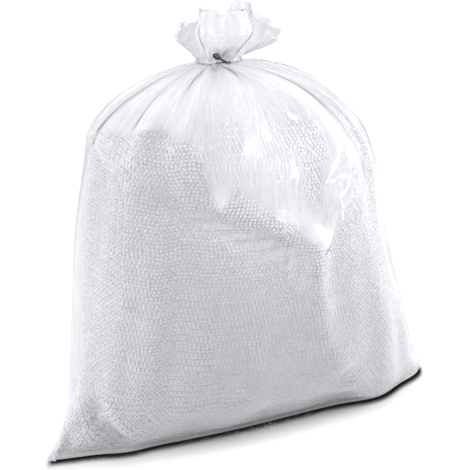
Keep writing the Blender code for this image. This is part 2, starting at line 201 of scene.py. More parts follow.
# Patches of the gathers, as angle in degrees, height, half-width across, half-height, strength
Patch = namedtuple("Patch", "angle height across up strength")
# Whiter, hazier patches: partly milkier film, partly painted sheen and light on the gathers' tips and
# ledges
HAZE_AND_SHEEN_PATCHES = (
    Patch(-118.8, 0.372, 0.012, 0.026, 0.50),
    Patch(-117.0, 0.425, 0.012, 0.040, 0.14),
    Patch(-88.2, 0.314, 0.026, 0.020, 0.42),
    Patch(-99.0, 0.362, 0.036, 0.022, 0.26),
    Patch(-103.0, 0.405, 0.050, 0.030, 0.28),
    Patch(-77.0, 0.375, 0.030, 0.045, 0.12),
    Patch(-107.0, 0.460, 0.012, 0.040, 0.20),
    Patch(-75.2, 0.497, 0.030, 0.020, 0.15),
    Patch(-165.0, 0.470, 0.070, 0.042, 0.40),
    Patch(-143.0, 0.472, 0.040, 0.040, 0.20),
    Patch(152.0, 0.440, 0.050, 0.040, 0.30),
    Patch(86.0, 0.335, 0.030, 0.030, 0.40),
    Patch(124.0, 0.350, 0.026, 0.036, 0.38),
)
CLEAR_WINDOWS = (
    Patch(-85.0, 0.442, 0.013, 0.022, 0.18),
    Patch(-88.3, 0.400, 0.015, 0.035, 0.22),
    Patch(-88.3, 0.370, 0.012, 0.020, 0.12),
    Patch(-52.0, 0.410, 0.045, 0.050, 0.14),
    Patch(66.0, 0.420, 0.020, 0.050, 0.25),
)

# Painted glints, white highlights on the creased film: spots along each, as an angle in
# degrees and a climb, and the width of each
Glint = namedtuple("Glint", "spots width")
PAINTED_GLINTS = (
    Glint(((-89.2, 1.48), (-87.5, 1.41), (-86.8, 1.35)), 0.0035),
    Glint(((-75.2, 1.38), (-75.0, 1.29), (-74.5, 1.23), (-76.0, 1.18), (-82.5, 1.05)), 0.0055),
    Glint(((-81.0, 1.05), (-75.0, 1.07), (-70.8, 1.07), (-71.8, 1.02), (-76.2, 0.98)), 0.0045),
    Glint(((-76.2, 0.98), (-76.2, 0.90)), 0.0030),
    Glint(((-99.0, 1.08), (-96.5, 1.14)), 0.0040),
    Glint(((-95.8, 1.08), (-92.8, 1.14), (-93.2, 1.06)), 0.0042),
    Glint(((-32.2, 1.38), (-32.5, 1.31)), 0.0060),
    Glint(((62.0, 1.36), (64.0, 1.22), (60.0, 1.12), (65.0, 1.04)), 0.0050),
    Glint(((112.0, 1.30), (114.0, 1.16)), 0.0040),
    Glint(((158.0, 1.28), (160.0, 1.12)), 0.0040),
)

# Crumpled patches and the depth of their crumples
CRUMPLES = (
    Patch(-75.0, 0.434, 0.030, 0.040, 1.0),
    Patch(-62.5, 0.384, 0.028, 0.050, 1.0),
    Patch(-96.5, 0.407, 0.035, 0.030, 0.8),
    Patch(-76.5, 0.359, 0.022, 0.040, 0.8),
    Patch(60.0, 0.400, 0.050, 0.050, 0.8),
    Patch(140.0, 0.420, 0.050, 0.050, 0.8),
)
CRUMPLE_DEPTH = 0.0045

# Layers of crumples: scale, seed and depth of each, in the gathers and in the frill
GATHER_CRUMPLES = ((0.022, 11, 1.0), (0.011, 12, 0.5))
FRILL_CRUMPLES = ((0.020, 21, 0.006), (0.009, 22, 0.003))

# Fine pleats: count round the bag, height, slant along the climb and start. Then the height
# over which they rise, how far they drift, their least strength and their fading to the waist.
FINE_PLEATS = ((37, 0.0013, 1.6, 0.4), (58, 0.0010, -2.2, 2.1), (91, 0.0006, 3.0, 4.0))
FINE_PLEAT_RISE = 0.020
FINE_PLEAT_DRIFT = 1.4
FINE_PLEAT_LEAST = 0.35
FINE_PLEAT_FADE = 0.6

# Film bunched over the wire: height from the middle of the waist, and how far out it stands.
# Then how far out the frill begins, from where on pleats don't dip, and the share of the frill
# over which it goes back.
COLLAR = (
    (-0.0030, 0.0014), (-0.0013, 0.0006), (0.0000, 0.0000), (0.0012, 0.0000),
    (0.0014, 0.0030), (0.0012, 0.0052), (-0.0006, 0.0058), (-0.0008, 0.0064),
    (0.0018, 0.0068), (0.0050, 0.0058),
)
COLLAR_OUT = 0.0058
COLLAR_CLEAR = 0.002
COLLAR_FADE = 0.30

# Gap of the collar for the knob: where it is, and over which turns from there it closes
KNOB_FACING = -86.0
GAP_FACING = KNOB_FACING - 6.0
GAP_CLOSES = (math.radians(14.0), math.radians(30.0))

# Ruffles and waves of the frill: count round it and size, and how much less the front petal has
RUFFLES = 23.0
RUFFLE_DEPTH = 0.0022
RIM_WAVES = 9.0
RIM_WAVE_HEIGHT = 0.003
FRONT_CALM = 0.75

# Streaks round the gathers: count, seed and share of each layer
STREAK_LAYERS = ((26, 1, 0.5), (67, 2, 0.3), (150, 3, 0.2))

# Haze of the film: where it lies on beads and how much more towards the ears, at the hem, in the
# gathers with the strength of their streaks, how much more at the waist, in the frill with what
# its front petal and streaks add, and the range that it keeps to
LYING_HAZE = 0.15
EAR_HAZE = 0.13
HEM_HAZE = 0.60
HEM_HEIGHT = 0.009
GATHER_HAZE = 0.30
GATHER_STREAKS = 0.20
WAIST_HAZE = 0.30
FRILL_HAZE = 0.60
FRONT_PETAL_HAZE = 0.15
FRILL_STREAKS = 0.35
HAZE_RANGE = (0.03, 0.96)
MILK_GAIN = 2.2

# Place that the fine streaks follow: how fast it climbs, and how far it closes up in the frill
RUN_CLIMB = 0.12
RUN_CLOSING = 0.75

# Grids of the pieces
FILM_COLUMNS = 360
FOOT_STEPS = 5
WALL_STEPS = 56
WALL_CROWDING = 0.35
DOME_STEPS = 42
FRILL_STEPS = 22
LINING_COLUMNS = 240
LINING_DOME_STEPS = 34
LINING_CAP_STEPS = 8
CORE_STRIDE = 2

# Beads, with the longest step of a round in rows and columns of the grid
BEAD_SPREAD = 0.05
BEAD_RANGE = (0.78, 1.22)
BEAD_PITCH = 1.03
BEAD_GAP = 1.10
BEAD_ROUNDS = 10
ROW_STEP = 2.0
COLUMN_STEP = 3.0
BEAD_PIECES = 3
BEAD_SINK = 0.0007
BEAD_FULLNESS = 0.94
CORE_DEPTH = 0.75
CORE_BOTTOM = 0.3

# Tie wire
WIRE_CLEARANCE = 0.0003
KNOB_ANGLE = math.radians(KNOB_FACING)
KNOB_HEADING = math.radians(206.0)
KNOB_RISE = math.radians(27.0)
KNOB_STANDOFF = 0.0028
KNOB_TURNS = 5
KNOB_LENGTH = 0.033
KNOB_RADIUS = 0.0042
KNOB_START = 0.58
LOOP_SAMPLES = 160
KNOB_SAMPLES = 150
WIRE_SIDES = 12

# Camera, which faces the bag's middle
BAG_MIDDLE = (-0.026, 0.0, 0.279)
VIEW_DISTANCE = 1.55
LENS = 85.0
SENSOR = 36.0

# Floor: half sizes and step of its fine part, where the painted contact line and the partly
# painted soft shadow start to fade and over what width, and how much more a distance to the
# side counts in the painted shadow
FLOOR_FINE = (0.46, 0.26)
FLOOR_STEP = 0.005
CONTACT_START = 0.006
CONTACT_WIDTH = 0.014
SHADOW_START = 0.004
SHADOW_WIDTH = 0.123
PAINTED_SHADOW_SIDE_WEIGHT = 6.0

# Sockets of the grain's node group
GRAIN_SOCKETS = (
    ("Place", "INPUT", "NodeSocketVector"),
    ("Scale", "INPUT", "NodeSocketFloat"),
    ("Mask", "OUTPUT", "NodeSocketFloat"),
    ("Height", "OUTPUT", "NodeSocketFloat"),
)

# Painted grey of edge-on film, painted dark of the contact line, plain white and the sky's own light
PAINTED_EDGE_SHADE = (0.24, 0.24, 0.26, 1.0)
PAINTED_CONTACT_SHADOW = (0.01, 0.01, 0.01, 1.0)
WHITE = (1.0, 1.0, 1.0, 1.0)
SKY_COLOR = (0.965, 0.96, 1.0, 1.0)

# Lamps, with the spread of their beam in degrees
Lamp = namedtuple("Lamp", "name place aim size spread power color")
PLAIN = (0.99, 0.985, 1.00)
COOL = (0.98, 0.975, 1.00)
LAMPS = (
    Lamp("Overhead softbox", (0.00, 0.10, 2.00), BAG_MIDDLE, 1.4, 180.0, 8.5, PLAIN),
    Lamp("Right softbox", (1.90, -0.20, 0.90), BAG_MIDDLE, 1.2, 180.0, 21.0, COOL),
    Lamp("Left softbox", (-2.00, 0.30, 1.00), BAG_MIDDLE, 1.2, 180.0, 20.0, COOL),
    Lamp("Key", (1.55, -0.85, 1.40), BAG_MIDDLE, 0.40, 180.0, 5.8, PLAIN),
    Lamp("Near softbox", (0.04, -0.46, 0.62), (-0.02, -0.15, 0.40), 0.20, 70.0, 0.125, PLAIN),
)


def smooth_step(value):
    """Rise from 0 to 1 with level ends: three squares less two cubes."""
    value = np.clip(value, 0.0, 1.0)
    return value * value * (3.0 - 2.0 * value)


def bell(value):
    """Bell curve: e to the power of less the square."""
    return np.exp(-(value**2))


def curve_through(stations, values, at):
    """Smooth curve through the values at the stations: cubic pieces whose slope at a station is
    the harmonic mean of the slopes beside it, and 0 at a turn."""
    stations = np.asarray(stations, float)
    values = np.asarray(values, float)
    gaps = np.diff(stations)
    slopes = np.diff(values) / gaps
    turns = slopes[:-1] * slopes[1:]
    inner = np.where(turns > 0.0, 2.0 * turns / (slopes[:-1] + slopes[1:] + (turns <= 0.0)), 0.0)
    tangents = np.concatenate([slopes[:1], inner, slopes[-1:]])
    index = np.clip(np.searchsorted(stations, at, side="right") - 1, 0, len(gaps) - 1)
    t = (at - stations[index]) / gaps[index]
    rise = smooth_step(t)
    lead = t * (1.0 - t) ** 2 * gaps[index] * tangents[index]
    tail = t * t * (t - 1.0) * gaps[index] * tangents[index + 1]
    return values[index] * (1.0 - rise) + values[index + 1] * rise + lead + tail


def angles_round(columns):
    """Even angles round the bag, from the right ear."""
    return np.linspace(0.0, 2.0 * math.pi, columns, endpoint=False)


def turn_between(angle, degrees):
    """Signed turn from a facing in degrees to each angle, in radians."""
    return np.angle(np.exp(1j * (angle - math.radians(degrees))))


def round_the_sides(sides, angle):
    """Blend of a value for each side: the end's share is the squared cosine of the angle, and
    the face's share its squared sine."""
    cos = np.cos(angle)
    sin = np.sin(angle)
    ends = np.where(cos < 0.0, sides.left, sides.right) * cos**2
    return ends + np.where(sin < 0.0, sides.front, sides.back) * sin**2


def corner_push(share, angle):
    """How far the corners stand out of the front: bell curves of the turn from each, less and
    less up the wall."""
    push = 0.0
    for corner in CORNERS:
        away = turn_between(angle, corner.facing) / math.radians(corner.spread)
        push = push + corner.push * bell(away)
    return push * smooth_step(1.0 - share / CORNER_FADE)[:, None]


def wall_outline(share, angle):
    """Plan of the wall at shares of its height, as rows over columns of angles: the reach times
    a power of the cosine, and the depth times a power of the sine, each with its sign, with the
    corners pushed out."""
    table = np.array(SECTIONS)
    read = [curve_through(table[:, 0], column, share)[:, None] for column in table.T[1:]]
    left, right, front, back, left_point, right_point, lean = read
    cos = np.cos(angle)
    sin = np.sin(angle)
    toward_left = 0.5 - 0.5 * cos
    point = left_point * toward_left + right_point * (1.0 - toward_left)
    reach = EAR_SPAN * np.where(cos < 0.0, left, right)
    depth = BAG_DEPTH * np.where(sin < 0.0, front * (1.0 + lean * cos), back)
    x = np.sign(cos) * np.abs(cos) ** END_FULLNESS * reach
    y = np.sign(sin) * np.abs(sin) ** point * depth
    return x, y - corner_push(share, angle)


def stack(x, y, z):
    """Rows of points from three grids."""
    return np.stack(np.broadcast_arrays(x, y, z), axis=-1)


def foot_rows(angle):
    """Quarter roll under the foot: its outline shrinks by the roll times one less the sine of
    the roll's angle, at a height of the roll times one less its cosine."""
    turn = np.linspace(0.0, math.pi / 2.0, FOOT_STEPS, endpoint=False)[:, None]
    x, y = wall_outline(np.zeros(1), angle)
    inset = FOOT_ROLL * (1.0 - np.sin(turn))
    height = FOOT_ROLL * (1.0 - np.cos(turn))
    length = EAR_SPAN * max(FOOT.left, FOOT.right)
    depth = BAG_DEPTH * max(FOOT.front, FOOT.back)
    return stack(x * (1.0 - inset / length), y * (1.0 - inset / depth), height)


def wall_rows(angle, climb):
    """Wall rows: the outline at each share of the height, up to the shoulder."""
    x, y = wall_outline(climb, angle)
    top = round_the_sides(SHOULDER_HEIGHT, angle)
    return stack(x, y, FOOT_ROLL + climb[:, None] * (top - FOOT_ROLL))


def waist_row(angle, height):
    """Ellipse of the waist at a height from its middle."""
    x = NECK.x + NECK_HALF_WIDTH * np.cos(angle)
    y = NECK.y + NECK_HALF_DEPTH * np.sin(angle)
    return stack(x, y, np.full(len(angle), NECK.z + height))


def dome_rows(shoulder, angle, turn):
    """Rows from the shoulder to the waist on superellipse arcs: inward by one less a power of
    the turn's cosine, and upward by the same power of its sine."""
    waist = waist_row(angle, -NECK_LAND)
    power = 2.0 / round_the_sides(DOME_FULLNESS, angle)
    turn = turn[:, None]
    inward = 1.0 - np.maximum(np.cos(turn), 0.0) ** power
    upward = np.sin(turn) ** power
    share = np.stack([inward, inward, upward], axis=-1)
    return shoulder + (waist - shoulder) * share


def normals_of(rows):
    """Outward unit normals of rows of points: the step round the bag crossed with the step up."""
    around = np.roll(rows, -1, axis=1) - np.roll(rows, 1, axis=1)
    normal = np.cross(around, np.gradient(rows, axis=0))
    return normal / np.maximum(np.linalg.norm(normal, axis=2, keepdims=True), 1e-12)


def read_grid(grid, row, column):
    """Values of a grid between its points, as the weighted mean of the four about each place.
    Columns wrap round."""
    columns = grid.shape[1]
    low = np.clip(np.floor(row).astype(int), 0, len(grid) - 2)
    left = np.floor(column).astype(int)
    up = (row - low)[:, None]
    along = (column - left)[:, None]
    right = (left + 1) % columns
    left = left % columns
    below = grid[low, left] * (1.0 - along) + grid[low, right] * along
    above = grid[low + 1, left] * (1.0 - along) + grid[low + 1, right] * along
    return below * (1.0 - up) + above * up


def spot_on(rows, climbs, spot):
    """Place of a spot on rows of the bag."""
    degrees, climb = spot
    column = (degrees % 360.0) / 360.0 * rows.shape[1]
    row = np.interp(climb, climbs, np.arange(len(climbs)))
    return read_grid(rows, np.array([row]), np.array([column]))[0]


def away_from_line(rows, start, end):
    """Distance of each point from the line that joins two places."""
    run = end - start
    along = np.clip((rows - start) @ run / (run @ run), 0.0, 1.0)
    return np.linalg.norm(rows - start - along[:, :, None] * run, axis=2)


def sunk_by_folds(rows, climbs, folds):
    """How far the folds sink each point: their depth times the bell curve of the distance from
    their line over their width."""
    sunk = np.zeros(rows.shape[:2])
    for fold in folds:
        start, end = (spot_on(rows, climbs, spot) for spot in (fold.start, fold.end))
        sunk += fold.depth * bell(away_from_line(rows, start, end) / fold.width)
    return sunk


def sunk_by_waves(angle, climbs):
    """How far the waves sink each point: sines of the angle and the climb, which fade out up
    the dome."""
    climb = np.maximum(climbs, 0.0)[:, None]
    sunk = 0.0
    for wave in WAVES:
        sunk = sunk + wave.depth * np.sin(wave.count * angle + wave.slant * climb + wave.start)
    return sunk * smooth_step(2.0 - climb)


def lowered(rows, sunk):
    """Rows sunk along their normals, less and less towards the flat underside."""
    sunk = sunk * smooth_step(rows[:, :, 2] / FOLD_FADE)
    return rows - normals_of(rows) * sunk[:, :, None]


def folded(rows, climbs, angle):
    """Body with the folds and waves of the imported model."""
    return lowered(rows, sunk_by_folds(rows, climbs, FOLDS) + sunk_by_waves(angle, climbs))


def creased(rows, climbs):
    """Body with its finer creases."""
    return lowered(rows, sunk_by_folds(rows, climbs, CREASES))


def pleat_wave(angle):
    """Broad pleats from -1 to 1: the cosine of their count times the angle, with a drift of slow
    sines."""
    phase = PLEATS * angle
    for count, size, start in PLEAT_DRIFT:
        phase = phase + size * np.sin(count * angle + start)
    return np.cos(phase)


def crest(phase):
    """Pleat with a sharp ridge: one less the size of the sine of half the phase."""
    return 1.0 - np.abs(np.sin(phase / 2.0))


def streaks(angle, count, seed):
    """Uneven streaks round the bag from 0 to 1: seeded random values at even angles, joined by
    smooth steps."""
    values = np.random.default_rng(seed).random(count)
    place = (angle / (2.0 * math.pi) * count) % count
    low = np.floor(place).astype(int) % count
    share = smooth_step(place - np.floor(place))
    return values[low] * (1.0 - share) + values[(low + 1) % count] * share


def crumple(points, scale, seed, waves=6):
    """Creased noise from -0.5 to 0.5: the mean of triangle waves along seeded directions, each
    bent by a slow sine across it."""
    rng = np.random.default_rng(seed)
    total = np.zeros(points.shape[:-1])
    for _ in range(waves):
        direction, across = rng.normal(size=(2, 3))
        direction /= np.linalg.norm(direction)
        across /= np.linalg.norm(across)
        bend = 0.35 * np.sin(points @ across / scale * 2.0 + rng.random() * 6.0)
        place = points @ direction / scale + bend + rng.random()
        total += np.abs(2.0 * (place - np.floor(place)) - 1.0)
    return total / waves - 0.5


def crumples(points, layers, start=0.0):
    """Sum of the layers of crumples, each times its depth, on top of a start."""
    return sum((depth * crumple(points, scale, seed) for scale, seed, depth in layers), start)


def patches_share(rows, angle, patches):
    """Sum of the patches' strengths, each times bell curves of the distance round the bag and of
    the height."""
    radius = np.linalg.norm(rows[:, :, :2] - np.array([NECK.x, NECK.y]), axis=2)
    total = 0.0
    for patch in patches:
        across = turn_between(angle, patch.angle) * radius / patch.across
        up = (rows[:, :, 2] - patch.height) / patch.up
        total = total + patch.strength * np.exp(-(across**2) - up**2)
    return total


def gather_edge(angle):
    """Height of the gathers' edge and its ramp at each angle."""
    table = np.array(GATHER_EDGE)
    signed = turn_between(angle, 0.0)
    return [np.interp(signed, np.radians(table[:, 0]), column) for column in table.T[1:]]


def gather_share(rows, angle, ramp=0.0):
    """How far the film has lifted off the beads: 0 below the gathers' edge, 1 above its own
    ramp and a further one."""
    edge, own_ramp = gather_edge(angle)
    return smooth_step((rows[:, :, 2] - edge) / (own_ramp + ramp))


def ledge_lift(rows, angle):
    """How far the ledges stand out: a bell curve of the turn, times a rise within the lip below
    the gathers' edge and a slow fall above it."""
    past = rows[:, :, 2] - gather_edge(angle)[0]
    lift = np.zeros(past.shape)
    for ledge in LEDGES:
        near = bell(turn_between(angle, ledge.angle) / math.radians(ledge.spread))
        lift += ledge.out * near * np.exp(-np.maximum(past, 0.0) / ledge.height)
    return lift * smooth_step(1.0 + past / LEDGE_LIP)


def plain_body(angle, dome_steps):
    """Bag below the waist before its folds, with the climb of each row."""
    even = np.linspace(0.0, 1.0, WALL_STEPS + 1)
    wall = even - WALL_CROWDING * np.sin(2.0 * math.pi * even) / (2.0 * math.pi)
    rise = np.linspace(0.0, 1.0, dome_steps + 1)[1:]
    under = foot_rows(angle)
    side = wall_rows(angle, wall)
    dome = dome_rows(side[-1], angle, rise * math.pi / 2.0)
    below = np.linspace(-1.0, 0.0, FOOT_STEPS, endpoint=False)
    return np.concatenate([under, side, dome]), np.concatenate([below, wall, 1.0 + rise])


def pull_out_flaps(rows, angle):
    """Empty flaps at the ears: outward by their length times bell curves of the height and of
    the turn from the ear."""
    low = bell(rows[:, :, 2] / FLAP_HEIGHT)
    right, left = (bell(turn_between(angle, ear) / FLAP_WIDTH) for ear in (0.0, 180.0))
    rows = rows.copy()
    rows[:, :, 0] += low * (RIGHT_FLAP * right - LEFT_FLAP * left)
    return rows


def pleated(rows, climbs, angle, crisp):
    """Rows moved along their normals: by broad cosine pleats on the dome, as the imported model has
    them, and, as far as it is crisp, by fine sharp pleats above the gathers' edge, crumples and
    ledges."""
    progress = np.clip(climbs - 1.0, 0.0, 1.0)[:, None]
    broad = DOME_PLEAT_DEPTH * smooth_step(progress / PLEAT_RUN_IN) * (1.0 - progress)
    lift = (broad + NECK_PLEAT_DEPTH * progress) * pleat_wave(angle)
    fine = np.zeros(rows.shape[:2])
    for count, height, slant, start in FINE_PLEATS:
        drift = FINE_PLEAT_DRIFT * np.sin(3.0 * angle + start) + slant * climbs[:, None]
        strong = FINE_PLEAT_LEAST + streaks(angle, count // 2, count)
        fine += height * strong * crest(count * angle + drift)
    fine *= gather_share(rows, angle, FINE_PLEAT_RISE) * (1.0 - FINE_PLEAT_FADE * progress)
    rough = crumples(rows, GATHER_CRUMPLES, 0.5)
    fine += CRUMPLE_DEPTH * rough * patches_share(rows, angle, CRUMPLES)
    fine += ledge_lift(rows, angle)
    return rows + normals_of(rows) * (lift + crisp * fine)[:, :, None]


def petals_round(angle):
    """Reach, height and rim share of the frill, and the share of the first petal: the reach is
    the widest petal's, each a half wave over its spread, and the rest are weighted means."""
    reach = np.zeros(len(angle))
    weights = []
    for petal in PETALS:
        share = np.clip(turn_between(angle, petal.facing) / math.radians(petal.spread), -1.0, 1.0)
        weight = np.cos(share * math.pi / 2.0)
        reach = np.maximum(reach, petal.reach * weight)
        weights.append(weight**2)
    weights = np.array(weights) / np.sum(weights, axis=0)
    table = np.array(PETALS)
    return reach, table[:, 3] @ weights, table[:, 4] @ weights, weights[0]


def outward(angle):
    """Level unit vectors at each angle."""
    return stack(np.cos(angle), np.sin(angle), np.zeros(len(angle)))


def collar_rows(angle):
    """Film bunched over the wire: the pleated waist, pushed out by the collar's profile away
    from the knob. Pleats don't dip where the collar stands clear of the waist."""
    height, out = np.array(COLLAR).T
    away = np.abs(turn_between(angle, GAP_FACING))
    full = smooth_step((away - GAP_CLOSES[0]) / (GAP_CLOSES[1] - GAP_CLOSES[0]))
    pleat = NECK_PLEAT_DEPTH * pleat_wave(angle)
    lift = np.where(out[:, None] > COLLAR_CLEAR, np.maximum(pleat, 0.0), pleat)
    rows = waist_row(angle, 0.0) + outward(angle) * (out[:, None] * full + lift)[:, :, None]
    rows[:, :, 2] += height[:, None]
    return rows, full


def frill_rows(angle, crisp):
    """Rows of the mouth: outward from the waist by the petals' reach times the flare, less the
    curl at the rim, with ruffles and waves that grow towards it."""
    share = np.linspace(0.0, 1.0, FRILL_STEPS + 1)[1:, None]
    reach, height, rim, front = petals_round(angle)
    loose = 1.0 - FRONT_CALM * front
    collar, full = collar_rows(angle)
    curl = (1.0 - rim) * curve_through(FLARE_AT, CURL, share)
    flare = curve_through(FLARE_AT, FLARE, share) - curl
    pleat = NECK_PLEAT_DEPTH * pleat_wave(angle) * (1.0 - share)
    collar_out = COLLAR_OUT * full * (1.0 - smooth_step(share / COLLAR_FADE))
    ruffle = np.sin(RUFFLES * angle + 1.3 * np.sin(4.0 * angle))
    ruffle = ruffle * RUFFLE_DEPTH * smooth_step(share * 1.5)
    out = reach * flare + pleat + collar_out + ruffle * loose
    rows = waist_row(angle, NECK_LAND) + outward(angle) * out[:, :, None]
    waves = RIM_WAVE_HEIGHT * share**2 * np.sin(RIM_WAVES * angle + 2.0)
    rows[:, :, 2] += height * share + waves * loose
    rough = crisp * crumples(rows, FRILL_CRUMPLES) * loose * smooth_step(share * 2.0)
    return np.concatenate([collar, rows + normals_of(rows) * rough[:, :, None]])


def film_rows(angle, crisp):
    """The whole film, from the underside to the rim, with the climb of each row."""
    rows, climbs = plain_body(angle, DOME_STEPS)
    rows = creased(folded(rows, climbs, angle), climbs)
    rows = pull_out_flaps(pleated(rows, climbs, angle, crisp), angle)
    frill = frill_rows(angle, crisp)
    above = 2.0 + np.arange(1, len(frill) + 1) / len(frill)
    return np.concatenate([rows, frill]), np.concatenate([climbs, above])


def above_waist(climbs):
    """Share from 0 at the waist to 1 a third of the way up the frill."""
    return smooth_step((climbs[:, None] - 2.0) * 3.0)


def haze_of(rows, climbs, angle):
    """Milkiness of the film from 0 to 1: low where it lies on beads, and less so towards the
    ears by the cosine's fourth power, with a bell curve of the height at the hem. The gathers
    add streaks, whiter patches that are partly painted sheen and light, and the square of
    their climb, and the windows take from them. The frill has a haze of its own."""
    layers = (share * streaks(angle, count, seed) for count, seed, share in STREAK_LAYERS)
    streak = sum(layers) - 0.5
    haze_and_sheen = patches_share(rows, angle, HAZE_AND_SHEEN_PATCHES)
    windows = patches_share(rows, angle, CLEAR_WINDOWS)
    progress = np.clip(climbs - 1.0, 0.0, 1.0)[:, None]
    gathered = GATHER_HAZE + GATHER_STREAKS * streak + haze_and_sheen - windows + WAIST_HAZE * progress**2
    hem = HEM_HAZE * bell(rows[:, :, 2] / HEM_HEIGHT)
    lying = LYING_HAZE + EAR_HAZE * np.cos(angle) ** 4
    body = lying + hem + (gathered - lying) * gather_share(rows, angle)
    front = petals_round(angle)[3]
    petals = FRILL_HAZE + FRONT_PETAL_HAZE * front + FRILL_STREAKS * streak * (1.0 - front)
    above = above_waist(climbs)
    return np.clip(body * (1.0 - above) + petals * above, *HAZE_RANGE)


def painted_shine_of(rows, climbs):
    """Share of each point in the painted glints: the bell curve of its distance from the nearest
    line between their spots over their width."""
    shine = np.zeros(rows.shape[:2])
    for painted_glint in PAINTED_GLINTS:
        places = [spot_on(rows, climbs, spot) for spot in painted_glint.spots]
        for start, end in zip(places, places[1:]):
            shine = np.maximum(shine, bell(away_from_line(rows, start, end) / painted_glint.width))
    return shine


def milk_of(haze, climbs, angle):
    """Whiteness of the film from 0, grey and clear, to 1: just over twice its haze below the
    waist, and the front petal's share above."""
    front = petals_round(angle)[3]
    above = above_waist(climbs)
    return np.clip(MILK_GAIN * haze, 0.0, 1.0) * (1.0 - above) + smooth_step(front * 1.5) * above


def run_of(climbs, angle):
    """Place of each point for streaks along the gathers: its way round the bag as a cosine and a
    sine, and a share of its climb that grows above the waist, all drawn together up there."""
    above = above_waist(climbs)
    run = stack(np.cos(angle), np.sin(angle), climbs[:, None] * (RUN_CLIMB + above))
    return run * (1.0 - RUN_CLOSING * above)[:, :, None]


def bead_lining(angle):
    """Surface that the outermost beads touch: the film's inside with its broad pleats, a little
    lower under the dome, cut off short of the waist and closed in the middle."""
    rows, climbs = plain_body(angle, LINING_DOME_STEPS)
    rows = pleated(creased(folded(rows, climbs, angle), climbs), climbs, angle, 0.0)
    kept = climbs <= 1.0 + HEAP_REACH
    rows = rows[kept]
    drop = HEAP_DROP * smooth_step((climbs[kept] - 1.0) / HEAP_EDGE)
    rows = rows - normals_of(rows) * (FILM_CLEARANCE + drop)[:, None, None]
    middle = rows[-1].mean(axis=0)
    closing = np.linspace(1.0, 0.0, LINING_CAP_STEPS + 1)[1:, None, None]
    return np.concatenate([rows, middle + (rows[-1] - middle) * closing])


def level_lines(rows, spacing):
    """Grid rows at which each column reaches each level, where levels are a spacing apart along
    the surface, counted up from the foot."""
    step = np.linalg.norm(np.diff(rows, axis=0), axis=2)
    climbed = np.concatenate([np.zeros((1, rows.shape[1])), np.cumsum(step, axis=0)])
    levels = np.arange(0.3 * spacing, climbed[-1].max(), spacing)[:, None]
    low = (climbed[None] <= levels[:, :, None].transpose(0, 2, 1)).sum(axis=1) - 1
    low = np.clip(low, 0, len(step) - 1)
    past = levels - np.take_along_axis(climbed, low, axis=0)
    return low + np.clip(past / np.take_along_axis(step, low, axis=0), 0.0, 1.0)


def in_rows(rows, pitch):
    """Rows and columns of beads on a grid, lined up along its levels as in a close packing: a
    pitch apart, with every second line half a pitch on."""
    lines = level_lines(rows, pitch * math.sqrt(0.75))
    count, columns = lines.shape
    points = read_grid(rows, lines.ravel(), np.tile(np.arange(columns), count))
    points = points.reshape(count, columns, 3)
    side = np.linalg.norm(np.roll(points, -1, axis=1) - points, axis=2)
    beads = np.maximum(np.round(side.sum(axis=1) / pitch), 1.0).astype(int)
    level = np.repeat(np.arange(count), beads)
    number = np.arange(len(level)) - np.repeat(np.cumsum(beads) - beads, beads)
    along = (number + 0.5 * (level % 2)) / beads[level]
    running = np.cumsum(side, axis=1) / np.maximum(side.sum(axis=1, keepdims=True), 1e-9)
    running = np.concatenate([np.zeros((count, 1)), running], axis=1)
    line = (running + np.arange(count)[:, None] * 2.0).ravel()
    place = np.clip(np.searchsorted(line, level * 2.0 + along) - 1, 0, len(line) - 2)
    step = np.maximum(line[place + 1] - line[place], 1e-9)
    column = place % (columns + 1) + np.clip((level * 2.0 + along - line[place]) / step, 0.0, 1.0)
    row = read_grid(lines[:, :, None], level, column)[:, 0]
    kept = row < len(rows) - 1.01
    return row[kept], column[kept]


def pushes(points, radii):
    """Push on each bead from the beads near it: each pair that is closer than its gap shares the
    missing length. Neighbours are found by cells, sorted by a key made of their indices."""
    cell = 2.0 * radii.max() * BEAD_GAP
    index = np.floor((points - points.min(axis=0)) / cell).astype(np.int64) + 1
    span = index.max(axis=0) + 2
    key = (index[:, 0] * span[1] + index[:, 1]) * span[2] + index[:, 2]
    order = np.argsort(key, kind="stable")
    sorted_key = key[order]
    push = np.zeros_like(points)
    offsets = np.stack(np.meshgrid([-1, 0, 1], [-1, 0, 1], [-1, 0, 1], indexing="ij"), -1)
    most = np.bincount(np.unique(sorted_key, return_inverse=True)[1]).max()
    for offset in offsets.reshape(-1, 3):
        wanted = key + (offset[0] * span[1] + offset[1]) * span[2] + offset[2]
        first = np.searchsorted(sorted_key, wanted)
        for step in range(most):
            place = first + step
            other = order[np.minimum(place, len(order) - 1)]
            here = (place < len(order)) & (key[other] == wanted) & (other != np.arange(len(key)))
            mine = np.nonzero(here)[0]
            other = other[mine]
            apart = points[mine] - points[other]
            length = np.maximum(np.linalg.norm(apart, axis=1), 1e-9)
            gap = (radii[mine] + radii[other]) * BEAD_GAP
            missing = np.maximum(gap - length, 0.0)
            push[mine] += apart * (0.5 * missing / length)[:, None]
    return push


def dots(first, second):
    """Dot product of each pair of vectors."""
    return (first * second).sum(axis=1)


def settled(rows, row, column, radii, rounds):
    """Rows and columns of beads on a grid after rounds of pushing apart: a push is turned into
    a step on the grid by the grid's own slopes."""
    up = np.gradient(rows, axis=0)
    around = (np.roll(rows, -1, axis=1) - np.roll(rows, 1, axis=1)) / 2.0
    for _ in range(rounds):
        push = pushes(read_grid(rows, row, column), radii)
        rise = read_grid(up, row, column)
        side = read_grid(around, row, column)
        rise_rise = dots(rise, rise) + 1e-12
        side_side = dots(side, side) + 1e-12
        mixed, along_rise, along_side = dots(rise, side), dots(rise, push), dots(side, push)
        scale = np.maximum(rise_rise * side_side - mixed**2, 1e-16)
        row_step = (along_rise * side_side - along_side * mixed) / scale
        column_step = (along_side * rise_rise - along_rise * mixed) / scale
        row = np.clip(row + np.clip(row_step, -ROW_STEP, ROW_STEP), 0.0, len(rows) - 1.001)
        column = column + np.clip(column_step, -COLUMN_STEP, COLUMN_STEP)
    return row, column


